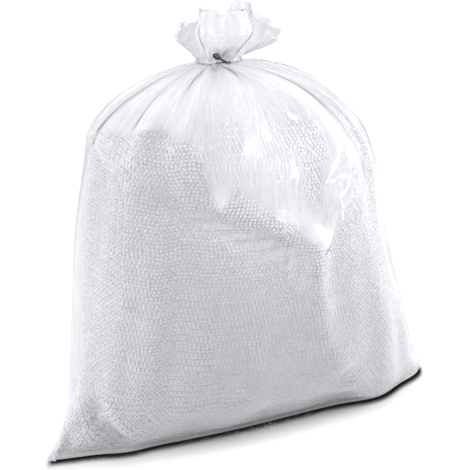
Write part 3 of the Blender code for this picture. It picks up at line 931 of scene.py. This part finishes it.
def small_ball():
    """Corners and faces of a ball of 20 triangles, an icosahedron."""
    golden = (1.0 + math.sqrt(5.0)) / 2.0
    corners = []
    for one in (-1.0, 1.0):
        for long in (-golden, golden):
            corners += [(one, long, 0.0), (0.0, one, long), (long, 0.0, one)]
    corners = np.array(corners)
    apart = np.linalg.norm(corners[:, None] - corners[None], axis=2)
    near = np.abs(apart - 2.0) < 0.01
    index = np.arange(12)
    first, second, third = np.meshgrid(index, index, index, indexing="ij")
    pick = near[first, second] & near[second, third] & near[first, third]
    pick &= (first < second) & (second < third)
    faces = np.stack([first[pick], second[pick], third[pick]], axis=1)
    a, b, c = (corners[faces[:, side]] for side in range(3))
    inside_out = np.einsum("ij,ij->i", np.cross(b - a, c - a), a) < 0.0
    faces[inside_out] = faces[inside_out][:, ::-1]
    return corners / np.linalg.norm(corners[0]), faces


def random_turns(count, rng):
    """Random rotation matrices, from random unit quaternions."""
    w, x, y, z = rng.normal(size=(count, 4)).T
    size = np.sqrt(w * w + x * x + y * y + z * z)
    w, x, y, z = w / size, x / size, y / size, z / size
    rows = (
        (1 - 2 * (y * y + z * z), 2 * (x * y - z * w), 2 * (x * z + y * w)),
        (2 * (x * y + z * w), 1 - 2 * (x * x + z * z), 2 * (y * z - x * w)),
        (2 * (x * z - y * w), 2 * (y * z + x * w), 1 - 2 * (x * x + y * y)),
    )
    return np.moveaxis(np.array(rows), 2, 0)


def mesh_from(name, points, faces):
    """Smooth mesh from arrays of points and of faces with equal corner counts."""
    mesh = bpy.data.meshes.new(name)
    count, sides = faces.shape
    mesh.vertices.add(len(points))
    mesh.loops.add(count * sides)
    mesh.polygons.add(count)
    mesh.vertices.foreach_set("co", np.ascontiguousarray(points, np.float32).ravel())
    mesh.loops.foreach_set("vertex_index", np.ascontiguousarray(faces, np.int32).ravel())
    mesh.polygons.foreach_set("loop_start", np.arange(0, count * sides, sides, dtype=np.int32))
    mesh.polygons.foreach_set("use_smooth", np.ones(count, bool))
    mesh.update()
    mesh.validate()
    return mesh


def grid_faces(rows, columns):
    """Quads of a grid that closes round its columns, facing out."""
    low = np.arange(rows - 1)[:, None] * columns
    here = np.arange(columns)[None]
    after = (here + 1) % columns
    corners = [low + here, low + after, low + columns + after, low + columns + here]
    return np.stack(corners, -1).reshape(-1, 4)


def set_values(mesh, name, values, kind="FLOAT", field="value"):
    """Store one number, or one vector, for each point under a name."""
    attribute = mesh.attributes.new(name, kind, "POINT")
    attribute.data.foreach_set(field, np.ascontiguousarray(values, np.float32).ravel())


def cap_fan(points, faces, ring, turned):
    """Close a ring of points with a fan of quads about its middle, each over two of its edges,
    and turned over if asked."""
    start = ring[0::2]
    middle = np.full(len(start), len(points))
    fan = np.stack([start, ring[1::2], np.roll(start, -1), middle], axis=1)
    if turned:
        fan = fan[:, ::-1]
    points = np.concatenate([points, points[ring].mean(axis=0, keepdims=True)])
    return points, np.concatenate([faces, fan])


def grid_mesh(name, rows, open_end=False):
    """Mesh of a grid that closes round its columns, with a fan over its first row, and one over
    its last row unless that end is open."""
    count, columns = rows.shape[:2]
    ring = np.arange(columns)
    points = rows.reshape(-1, 3) + SHIFT
    points, faces = cap_fan(points, grid_faces(count, columns), ring, True)
    if not open_end:
        points, faces = cap_fan(points, faces, ring + (count - 1) * columns, False)
    return mesh_from(name, points, faces)


def add_object(context, name, data):
    """Put a mesh, a lamp or a camera into the scene."""
    made = bpy.data.objects.new(name, data)
    context.scene.collection.objects.link(made)
    return made


def add_piece(context, mesh, material, slot, *nodes):
    """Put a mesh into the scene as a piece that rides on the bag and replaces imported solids."""
    piece = add_object(context, mesh.name, mesh)
    mesh.materials.append(material)
    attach(piece, "root")
    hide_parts(*nodes)
    return piece


def turn_along(made, way):
    """Turn a lamp or a camera so that it looks along a direction."""
    made.rotation_euler = way.to_track_quat("-Z", "Y").to_euler()


def place_in_frame():
    """Shift from the bag's own axes, whose middle is the seam's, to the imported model's."""
    angle = angles_round(FILM_COLUMNS)
    rows, climbs = plain_body(angle, DOME_STEPS)
    rows = pull_out_flaps(folded(rows, climbs, angle), angle)
    low, high = (np.array(corner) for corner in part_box("film_bag"))
    middle = (rows.min(axis=(0, 1)) + rows.max(axis=(0, 1))) / 2.0
    shift = (low + high) / 2.0 - middle
    return np.array([shift[0], shift[1], low[2]])


SHIFT = place_in_frame()


def new_material(name):
    """Material with its node tree and its shader."""
    material = bpy.data.materials.new(name)
    material.use_nodes = True
    tree = material.node_tree
    return material, tree, tree.nodes["Principled BSDF"]


def set_inputs(tree, made, inputs):
    """Link or set a node's inputs."""
    for socket, value in inputs.items():
        if isinstance(value, bpy.types.NodeSocket):
            tree.links.new(value, made.inputs[socket])
        else:
            made.inputs[socket].default_value = value


def node(tree, kind, inputs=(), **settings):
    """Add a node, set its settings and link or set its inputs."""
    made = tree.nodes.new(kind)
    for key, value in settings.items():
        setattr(made, key, value)
    set_inputs(tree, made, dict(inputs))
    return made


def math_node(tree, operation, *values, clamp=False):
    """Math node's result."""
    inputs = dict(enumerate(values))
    return node(tree, "ShaderNodeMath", inputs, operation=operation, use_clamp=clamp).outputs[0]


def mix_colors(tree, share, first, second):
    """Colour between two others by a share. The node's colour sockets have the same names as
    its number sockets, so they are taken by their place."""
    made = node(tree, "ShaderNodeMix", data_type="RGBA")
    set_inputs(tree, made, {0: share, 6: first, 7: second})
    return made.outputs[2]


def attribute(tree, name, output="Fac"):
    """Output of a piece's own attribute."""
    return node(tree, "ShaderNodeAttribute", attribute_name=name).outputs[output]


def own_place(tree):
    """Place on the piece, from its Object coordinates."""
    return node(tree, "ShaderNodeTexCoord").outputs["Object"]


def noise(tree, place, scale, detail):
    """Cloudy noise from 0 to 1."""
    inputs = {"Vector": place, "Scale": scale, "Detail": detail}
    return node(tree, "ShaderNodeTexNoise", inputs).outputs["Fac"]


def cells(tree, place, scale):
    """Distance from the middles of random cells."""
    inputs = {"Vector": place, "Scale": scale}
    return node(tree, "ShaderNodeTexVoronoi", inputs).outputs["Distance"]


def bump(tree, strength, distance, height):
    """Normal of a surface with a height on it."""
    inputs = {"Strength": strength, "Distance": distance, "Height": height}
    return node(tree, "ShaderNodeBump", inputs).outputs["Normal"]


def shade(color, factor=1.0):
    """Opaque colour, times one factor or one for each channel."""
    return (*np.multiply(tuple(color), factor), 1.0)


def grain_group():
    """Node group: fine grain of a surface from its place, as a mask and a height."""
    name = "Surface grain"
    if name in bpy.data.node_groups:
        return bpy.data.node_groups[name]
    group = bpy.data.node_groups.new(name, "ShaderNodeTree")
    for socket, way, kind in GRAIN_SOCKETS:
        group.interface.new_socket(socket, in_out=way, socket_type=kind)
    inside = node(group, "NodeGroupInput")
    place, scale = inside.outputs["Place"], inside.outputs["Scale"]
    coarse = noise(group, place, scale, 3.0)
    fine = cells(group, place, math_node(group, "MULTIPLY", scale, 3.7))
    height = math_node(group, "ADD", coarse, math_node(group, "MULTIPLY", fine, 0.4))
    node(group, "NodeGroupOutput", {"Mask": coarse, "Height": height})
    return group


def add_grain(tree, place, scale):
    """Mask and height of the surface grain at a place."""
    inputs = {"Place": place, "Scale": scale}
    made = node(tree, "ShaderNodeGroup", inputs, node_tree=grain_group())
    return made.outputs["Mask"], made.outputs["Height"]


def painted_glint_mask(tree, place):
    """Painted highlights on the creased film: the glints' share plus a noise, cut off sharply."""
    rough = math_node(tree, "MULTIPLY_ADD", noise(tree, place, 110.0, 4.0), 2.4, -1.85)
    share = math_node(tree, "MULTIPLY_ADD", attribute(tree, "shine"), 1.3, rough)
    return math_node(tree, "MULTIPLY", share, 3.0, clamp=True)


def edge_mask(tree, place):
    """How far the film is seen edge-on: a high power of Facing, and none of it at the floor."""
    facing = node(tree, "ShaderNodeLayerWeight", {"Blend": 0.5}).outputs["Facing"]
    steep = math_node(tree, "POWER", math_node(tree, "MULTIPLY", facing, 1.22), 6.0, clamp=True)
    height = node(tree, "ShaderNodeSeparateXYZ", {"Vector": place}).outputs["Z"]
    off_floor = math_node(tree, "MULTIPLY", height, 14.0, clamp=True)
    return math_node(tree, "MULTIPLY", steep, off_floor)


def film_alpha(tree, seen):
    """Alpha of the film: none on its back, and 15% of it for shadow rays."""
    back = node(tree, "ShaderNodeNewGeometry").outputs["Backfacing"]
    shadow = node(tree, "ShaderNodeLightPath").outputs["Is Shadow Ray"]
    passed = math_node(tree, "SUBTRACT", 1.0, math_node(tree, "MULTIPLY", shadow, 0.85))
    seen = math_node(tree, "MULTIPLY", seen, passed)
    return math_node(tree, "MULTIPLY", seen, math_node(tree, "SUBTRACT", 1.0, back))


def film_material(settings):
    """Clear film: milky by its haze, streaked along the gathers, glossy and creased, with painted
    white highlights for its glints, and denser where it is seen edge-on, as glass is, with a
    painted grey shade there. The haze scatters light forward, so it casts only a part of its
    shadow."""
    material, tree, shader = new_material("Clear film")
    place = own_place(tree)
    mask, height = add_grain(tree, place, 60.0)
    haze = attribute(tree, "haze")
    run = attribute(tree, "run", "Vector")
    streak, ripple = noise(tree, run, 18.0, 4.0), noise(tree, run, 55.0, 3.0)
    # The glints are painted highlights: white colour and more alpha on the creased film
    edge, painted_glint = edge_mask(tree, place), painted_glint_mask(tree, place)
    base = mix_colors(tree, attribute(tree, "milk"), shade(settings.tint), shade(settings.milk))
    # Painted grey shade where the film is seen edge-on
    base = mix_colors(tree, edge, base, PAINTED_EDGE_SHADE)
    varied = math_node(tree, "MULTIPLY", ripple, 0.70)
    varied = math_node(tree, "MULTIPLY_ADD", streak, 0.40, varied)
    veil = math_node(tree, "MULTIPLY", haze, math_node(tree, "ADD", varied, 0.45))
    seen = math_node(tree, "ADD", veil, math_node(tree, "MULTIPLY", edge, 0.95), clamp=True)
    seen = math_node(tree, "MAXIMUM", seen, math_node(tree, "MULTIPLY", painted_glint, 0.8))
    wrinkle = math_node(tree, "MULTIPLY", ripple, haze)
    wrinkle = math_node(tree, "ADD", wrinkle, math_node(tree, "MULTIPLY", height, 0.25))
    rough = settings.roughness - 0.10
    set_inputs(tree, shader, {
        "Base Color": mix_colors(tree, painted_glint, base, WHITE),
        "Alpha": film_alpha(tree, seen),
        "Roughness": math_node(tree, "MULTIPLY_ADD", mask, 0.20, rough),
        "Normal": bump(tree, 0.35, 0.0015, wrinkle),
        "IOR": 1.50,
        "Specular IOR Level": 0.45,
        "Coat Weight": math_node(tree, "MULTIPLY_ADD", edge, -0.70, 0.70),
        "Coat Roughness": 0.10,
    })
    return material


def bead_material(settings):
    """Polystyrene beads: each with its own tone, and fine cells in its skin."""
    material, tree, shader = new_material("Polystyrene beads")
    mask, height = add_grain(tree, own_place(tree), 900.0)
    dark = shade(settings.tint, 0.95)
    own = mix_colors(tree, attribute(tree, "tone"), dark, shade(settings.tint))
    set_inputs(tree, shader, {
        "Base Color": mix_colors(tree, math_node(tree, "MULTIPLY", mask, 0.10), own, dark),
        "Roughness": math_node(tree, "MULTIPLY_ADD", mask, 0.25, 0.45),
        "Normal": bump(tree, 0.25, 0.0003, height),
        "Specular IOR Level": 0.35,
    })
    return material


def core_material(settings):
    """Beads behind the outer ones: round cells as wide as a bead, with painted shade between them."""
    material, tree, shader = new_material("Polystyrene beads behind")
    place = own_place(tree)
    mask, _ = add_grain(tree, place, 900.0)
    away = cells(tree, place, 1.0 / settings.diameter)
    # Darker between the cells: painted shade in the gaps between the beads
    bright, dark = shade(settings.tint), shade(settings.tint, 0.93)
    set_inputs(tree, shader, {
        "Base Color": mix_colors(tree, away, bright, dark),
        "Roughness": math_node(tree, "MULTIPLY_ADD", mask, 0.25, 0.50),
        "Normal": bump(tree, 0.8, 0.002, math_node(tree, "SUBTRACT", 1.0, away)),
    })
    return material


def wire_material(settings):
    """Annealed wire: dark scale with duller and browner spots."""
    material, tree, shader = new_material("Annealed wire")
    mask, height = add_grain(tree, own_place(tree), 700.0)
    spots = shade(settings.tint, (1.9, 1.5, 1.3))
    set_inputs(tree, shader, {
        "Base Color": mix_colors(tree, mask, shade(settings.tint), spots),
        "Roughness": math_node(tree, "MULTIPLY_ADD", mask, 0.35, 0.25),
        "Normal": bump(tree, 0.3, 0.0002, height),
        "Metallic": 0.85,
    })
    return material


def seen_by_eye(tree):
    """1 for rays from the camera, from gloss and through glass, and 0 for the light's own."""
    path = node(tree, "ShaderNodeLightPath")
    seen = math_node(tree, "MAXIMUM", path.outputs["Is Camera Ray"], path.outputs["Is Glossy Ray"])
    return math_node(tree, "MAXIMUM", seen, path.outputs["Is Transmission Ray"])


def floor_material(settings):
    """Pale floor, which the eye sees as plain white away from the bag, with a painted dark contact
    line and a glow that fades out near the bag into a partly painted soft shadow. It gives back
    light to the bag as a pale floor does, without the painted dark."""
    material, tree, shader = new_material("Pale floor")
    mask, _ = add_grain(tree, own_place(tree), 3.0)
    pale, less = shade(settings.floor_tint), shade(settings.floor_tint, 0.985)
    camera = node(tree, "ShaderNodeLightPath").outputs["Is Camera Ray"]
    unseen = math_node(tree, "SUBTRACT", 1.0, camera)
    # Painted contact shadow: the floor's colour goes dark near the bag, for the eye only
    clear_of_painted_shadow = math_node(tree, "MAXIMUM", attribute(tree, "contact"), unseen)
    # Glow for the eye, which fades out near the bag into a partly painted soft shadow
    glow = math_node(tree, "MULTIPLY", seen_by_eye(tree), attribute(tree, "open"))
    set_inputs(tree, shader, {
        "Base Color": mix_colors(tree, clear_of_painted_shadow, PAINTED_CONTACT_SHADOW, mix_colors(tree, mask, pale, less)),
        "Roughness": 0.9,
        "Specular IOR Level": 0.0,
        "Emission Color": WHITE,
        "Emission Strength": glow,
    })
    return material


class BeadBagFilm(bpy.types.PropertyGroup):
    """Sizes and colours of the film."""

    wall: bpy.props.FloatProperty(
        name="Film Wall", description="Thickness of the film", default=0.00025, min=0.00005, unit="LENGTH"
    )
    crisp: bpy.props.FloatProperty(
        name="Crispness", description="Depth of the fine pleats and creases",
        default=1.0, min=0.0, subtype="FACTOR",
    )
    tint: bpy.props.FloatVectorProperty(
        name="Tint", description="Colour of the clear film", default=(0.66, 0.66, 0.70), subtype="COLOR"
    )
    milk: bpy.props.FloatVectorProperty(
        name="Milk", description="Colour of the milky gathers",
        default=(0.93, 0.925, 0.945), subtype="COLOR",
    )
    roughness: bpy.props.FloatProperty(
        name="Roughness", description="Dullness of the film's gloss",
        default=0.22, min=0.1, max=1.0, subtype="FACTOR",
    )


class BeadBagBeads(bpy.types.PropertyGroup):
    """Sizes and colours of the beads."""

    diameter: bpy.props.FloatProperty(
        name="Bead Diameter", description="Mean width of a bead", default=0.0055, min=0.002, unit="LENGTH"
    )
    seed: bpy.props.IntProperty(name="Seed", description="Start of the random sizes and turns", default=7)
    tint: bpy.props.FloatVectorProperty(
        name="Tint", description="Colour of the beads", default=(0.93, 0.925, 0.94), subtype="COLOR"
    )


class BeadBagTie(bpy.types.PropertyGroup):
    """Size and colour of the tie wire."""

    diameter: bpy.props.FloatProperty(
        name="Wire Diameter", description="Thickness of the wire", default=0.0016, min=0.0005, unit="LENGTH"
    )
    tint: bpy.props.FloatVectorProperty(
        name="Tint", description="Colour of the wire's scale", default=(0.035, 0.035, 0.04), subtype="COLOR"
    )


class BeadBagStage(bpy.types.PropertyGroup):
    """Floor, light and view."""

    azimuth: bpy.props.FloatProperty(
        name="Azimuth", description="Turn of the view from the front",
        default=math.radians(-28.6), subtype="ANGLE",
    )
    elevation: bpy.props.FloatProperty(
        name="Elevation", description="Tilt of the view above level",
        default=math.radians(20.0), subtype="ANGLE",
    )
    floor_size: bpy.props.FloatProperty(
        name="Floor Size", description="Width of the floor", default=30.0, min=1.0, unit="LENGTH"
    )
    floor_tint: bpy.props.FloatVectorProperty(
        name="Floor Tint", description="Colour of the floor", default=(0.93, 0.92, 0.91), subtype="COLOR"
    )
    sky: bpy.props.FloatProperty(
        name="Sky", description="Strength of the even light from all round", default=0.50, min=0.0
    )


class BEADBAG_OT_film(bpy.types.Operator):
    """Build the film: body, gathers, collar and frill as one skin"""

    bl_idname = "bead_bag.film"
    bl_label = "Film Bag"

    def execute(self, context):
        settings = context.scene.bead_bag_film
        angle = angles_round(FILM_COLUMNS)
        rows, climbs = film_rows(angle, settings.crisp)
        haze = haze_of(rows, climbs, angle)
        milk = milk_of(haze, climbs, angle)
        # Share of the painted glints, which the film's material turns into white highlights
        shine = painted_shine_of(rows, climbs)
        mesh = grid_mesh("bag_film", rows, open_end=True)
        for name, values in (("haze", haze), ("milk", milk), ("shine", shine)):
            set_values(mesh, name, np.append(values.ravel(), values[0].mean()))
        run = np.concatenate([run_of(climbs, angle).reshape(-1, 3), np.zeros((1, 3))])
        set_values(mesh, "run", run, "FLOAT_VECTOR", "vector")
        piece = add_piece(context, mesh, film_material(settings), "clear_film", "film_bag")
        wall = piece.modifiers.new("Film wall", "SOLIDIFY")
        wall.thickness = settings.wall
        wall.offset = -1.0
        return {"FINISHED"}


class BEADBAG_OT_beads(bpy.types.Operator):
    """Build the beads: a skin of loose beads behind the film, and the mass behind them"""

    bl_idname = "bead_bag.beads"
    bl_label = "Beads"

    def execute(self, context):
        settings = context.scene.bead_bag_beads
        rng = np.random.default_rng(settings.seed)
        rows = bead_lining(angles_round(LINING_COLUMNS))
        row, column = in_rows(rows, settings.diameter * BEAD_PITCH)
        count = len(row)
        sizes = np.clip(1.0 + BEAD_SPREAD * rng.normal(size=count), *BEAD_RANGE)
        radii = settings.diameter / 2.0 * sizes
        row, column = settled(rows, row, column, radii, BEAD_ROUNDS)
        normals = read_grid(normals_of(rows), row, column)
        sink = radii + BEAD_SINK * rng.random(count)
        centres = read_grid(rows, row, column) - normals * sink[:, None] + SHIFT
        corners, triangles = small_ball()
        turned = np.einsum("nij,kj->nki", random_turns(count, rng), corners)
        points = centres[:, None] + turned * (radii * BEAD_FULLNESS)[:, None, None]
        tones = rng.random(count)
        material = bead_material(settings)
        order = np.argsort(row)
        for number, chosen in enumerate(np.array_split(order, BEAD_PIECES), 1):
            faces = (triangles + np.arange(len(chosen))[:, None, None] * len(corners)).reshape(-1, 3)
            mesh = mesh_from(f"bead_skin_{number}", points[chosen].reshape(-1, 3), faces)
            set_values(mesh, "tone", np.repeat(tones[chosen], len(corners)))
            add_piece(context, mesh, material, "polystyrene", "bead_fill")
        self.add_core(context, rows[::CORE_STRIDE, ::CORE_STRIDE], settings)
        return {"FINISHED"}

    def add_core(self, context, rows, settings):
        """Mass behind the loose beads: their lining, inset by most of a bead and flat below."""
        inner = rows - normals_of(rows) * settings.diameter * CORE_DEPTH
        inner[:, :, 2] = np.maximum(inner[:, :, 2], settings.diameter * CORE_BOTTOM)
        mesh = grid_mesh("bead_core", inner)
        add_piece(context, mesh, core_material(settings), "polystyrene", "bead_fill")


def tie_path(diameter):
    """Points along the wire: down one twisted end, round the waist and up the other. The loop is
    an ellipse outside the pleats. An end is a helix about the knob's axis, whose radius swells
    by a half sine near the tip."""
    seat = NECK_PLEAT_DEPTH + WIRE_CLEARANCE + diameter / 2.0
    wide = NECK_HALF_WIDTH + seat
    deep = NECK_HALF_DEPTH + seat
    gap = math.asin((diameter + 2.0 * WIRE_CLEARANCE) / (wide + deep))
    angle = KNOB_ANGLE + np.linspace(gap, 2.0 * math.pi - gap, LOOP_SAMPLES)
    loop = stack(wide * np.cos(angle), deep * np.sin(angle), 0.0) + np.array(NECK)
    facing = np.array([math.cos(KNOB_ANGLE), math.sin(KNOB_ANGLE), 0.0])
    root = (loop[0] + loop[-1]) / 2.0 + facing * KNOB_STANDOFF
    level = Vector((math.cos(KNOB_HEADING), math.sin(KNOB_HEADING), 0.0))
    axis = level * math.cos(KNOB_RISE) + Vector((0.0, 0.0, math.sin(KNOB_RISE)))
    sideways = axis.cross(Vector((0.0, 0.0, 1.0))).normalized()
    upward = sideways.cross(axis)
    share = np.linspace(0.0, 1.0, KNOB_SAMPLES)[:, None]
    tight = diameter / 2.0 + WIRE_CLEARANCE
    bulb = np.maximum(share - KNOB_START, 0.0) / (1.0 - KNOB_START)
    radius = tight + (KNOB_RADIUS - diameter / 2.0 - tight) * np.sin(math.pi * bulb)
    turn = 2.0 * math.pi * KNOB_TURNS * share
    swing = (np.cos(turn) * np.array(sideways) + np.sin(turn) * np.array(upward)) * radius
    middle = root + np.array(axis) * KNOB_LENGTH * share
    first, second = middle + swing, middle - swing
    if np.linalg.norm(first[0] - loop[0]) > np.linalg.norm(second[0] - loop[0]):
        first, second = second, first
    return np.concatenate([first[::-1], loop, second])


def rounded_path(path, passes=6):
    """Path with its corners rounded by repeated means of three neighbours, ends kept."""
    for _ in range(passes):
        inner = (path[:-2] + 2.0 * path[1:-1] + path[2:]) / 4.0
        path = np.concatenate([path[:1], inner, path[-1:]])
    return path


def tube(path, radius, sides):
    """Round tube along a path: circles across its tangent, turned by the least twist from one
    point to the next, which keeps each circle's start square to the last."""
    tangent = np.gradient(path, axis=0)
    tangent /= np.linalg.norm(tangent, axis=1, keepdims=True)
    across = np.zeros_like(path)
    start = np.cross(tangent[0], (0.0, 0.0, 1.0))
    across[0] = start / np.linalg.norm(start)
    for index in range(1, len(path)):
        flat = across[index - 1] - tangent[index] * (across[index - 1] @ tangent[index])
        across[index] = flat / np.linalg.norm(flat)
    other = np.cross(tangent, across)
    turn = np.linspace(0.0, 2.0 * math.pi, sides, endpoint=False)[None, :, None]
    return path[:, None] + radius * (np.cos(turn) * across[:, None] + np.sin(turn) * other[:, None])


class BEADBAG_OT_tie(bpy.types.Operator):
    """Build the tie wire, with its ends twisted into a knob"""

    bl_idname = "bead_bag.tie"
    bl_label = "Wire Tie"

    def execute(self, context):
        settings = context.scene.bead_bag_tie
        rings = tube(rounded_path(tie_path(settings.diameter)), settings.diameter / 2.0, WIRE_SIDES)
        mesh = grid_mesh("tie_wire", rings)
        add_piece(context, mesh, wire_material(settings), "annealed_wire", "wire_tie")
        return {"FINISHED"}


class BEADBAG_OT_stage(bpy.types.Operator):
    """Set out the floor, the light and the camera"""

    bl_idname = "bead_bag.stage"
    bl_label = "Stage"

    def execute(self, context):
        settings = context.scene.bead_bag_stage
        self.add_floor(context, settings)
        self.set_world(context, settings)
        for lamp in LAMPS:
            self.add_lamp(context, lamp)
        self.add_camera(context, settings)
        context.scene.view_settings.view_transform = "Standard"
        context.scene.cycles.transparent_max_bounces = 32
        return {"FINISHED"}

    def add_floor(self, context, settings):
        """Level grid, fine near the bag and coarse far off. Each point keeps its distance from
        the bag's outline as two shares, one for the painted dark contact line and one for the glow
        that the eye sees, which fades out into a partly painted soft shadow near the bag.
        Distances to the sides count more, so that the painted shadow is narrower there."""
        far = np.array([1.0, 3.0, 8.0, settings.floor_size]) / 2.0
        x, y = (
            np.concatenate([-far[::-1], np.arange(-half, half + 0.001, FLOOR_STEP), far])
            for half in FLOOR_FINE
        )
        points = stack(x[None], y[:, None], 0.0)
        foot = wall_outline(np.zeros(1), angles_round(FILM_COLUMNS))
        offset = points[:, :, None, :2] - np.stack([foot[0][0], foot[1][0]], 1) - SHIFT[:2]
        sideways = offset @ (math.cos(settings.azimuth), math.sin(settings.azimuth))
        away = np.sqrt(((offset**2).sum(axis=3) + PAINTED_SHADOW_SIDE_WEIGHT * sideways**2).min(axis=2))
        corner = (np.arange(len(y) - 1)[:, None] * len(x) + np.arange(len(x) - 1)).ravel()
        faces = np.stack([corner, corner + 1, corner + 1 + len(x), corner + len(x)], 1)
        mesh = mesh_from("floor", points.reshape(-1, 3), faces)
        # Shares of the painted contact shadow and of the glow round the painted soft shadow
        set_values(mesh, "contact", smooth_step((away - CONTACT_START) / CONTACT_WIDTH))
        set_values(mesh, "open", np.clip((away - SHADOW_START) / SHADOW_WIDTH, 0.0, 1.0))
        mesh.materials.append(floor_material(settings))
        add_object(context, "floor", mesh)

    def set_world(self, context, settings):
        """Even light, which the camera and reflections see as plain white."""
        world = bpy.data.worlds.new("Studio")
        context.scene.world = world
        world.use_nodes = True
        tree = world.node_tree
        seen = seen_by_eye(tree)
        set_inputs(tree, tree.nodes["Background"], {
            "Color": mix_colors(tree, seen, SKY_COLOR, WHITE),
            "Strength": math_node(tree, "MULTIPLY_ADD", seen, 1.0 - settings.sky, settings.sky),
        })

    def add_lamp(self, context, lamp):
        """Square area lamp that faces its aim, with a beam as wide as its spread."""
        data = bpy.data.lights.new(lamp.name, "AREA")
        data.size = lamp.size
        data.energy = lamp.power
        data.spread = math.radians(lamp.spread)
        data.color = lamp.color
        made = add_object(context, lamp.name, data)
        made.location = lamp.place
        turn_along(made, Vector(lamp.aim) - made.location)
        made.visible_camera = False

    def add_camera(self, context, settings):
        """Camera at its distance from the target, turned and tilted by the view's angles."""
        data = bpy.data.cameras.new("Camera")
        data.lens = LENS
        data.sensor_width = SENSOR
        data.dof.use_dof = False
        camera = add_object(context, "Camera", data)
        level = math.cos(settings.elevation)
        across = math.sin(settings.azimuth) * level
        forward = -math.cos(settings.azimuth) * level
        away = Vector((across, forward, math.sin(settings.elevation)))
        camera.location = Vector(BAG_MIDDLE) + Vector(SHIFT) + away * VIEW_DISTANCE
        turn_along(camera, -away)
        context.scene.camera = camera


class BEADBAG_PT_sidebar(bpy.types.Panel):
    """Sizes, colours and builders of the bag"""

    bl_label = "Bead Bag"
    bl_idname = "BEADBAG_PT_sidebar"
    bl_space_type = "VIEW_3D"
    bl_region_type = "UI"
    bl_category = "Bead Bag"

    def draw(self, context):
        layout = self.layout
        for operator, group, _ in STEPS:
            box = layout.box()
            settings = getattr(context.scene, group)
            for name in settings.__annotations__:
                box.prop(settings, name)
            box.operator(operator)


STEPS = (
    ("bead_bag.stage", "bead_bag_stage", BeadBagStage),
    ("bead_bag.film", "bead_bag_film", BeadBagFilm),
    ("bead_bag.beads", "bead_bag_beads", BeadBagBeads),
    ("bead_bag.tie", "bead_bag_tie", BeadBagTie),
)
CLASSES = (
    *(kind for _, _, kind in STEPS),
    BEADBAG_OT_stage,
    BEADBAG_OT_film,
    BEADBAG_OT_beads,
    BEADBAG_OT_tie,
    BEADBAG_PT_sidebar,
)


def register():
    """Register the classes and give the scene their settings."""
    for cls in CLASSES:
        bpy.utils.register_class(cls)
    for _, name, kind in STEPS:
        setattr(bpy.types.Scene, name, bpy.props.PointerProperty(type=kind))


def unregister():
    """Undo what register did."""
    for _, name, _ in STEPS:
        delattr(bpy.types.Scene, name)
    for cls in reversed(CLASSES):
        bpy.utils.unregister_class(cls)


def main():
    """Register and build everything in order."""
    register()
    bpy.ops.bead_bag.stage()
    bpy.ops.bead_bag.film()
    bpy.ops.bead_bag.beads()
    bpy.ops.bead_bag.tie()


if __name__ == "__main__":
    main()
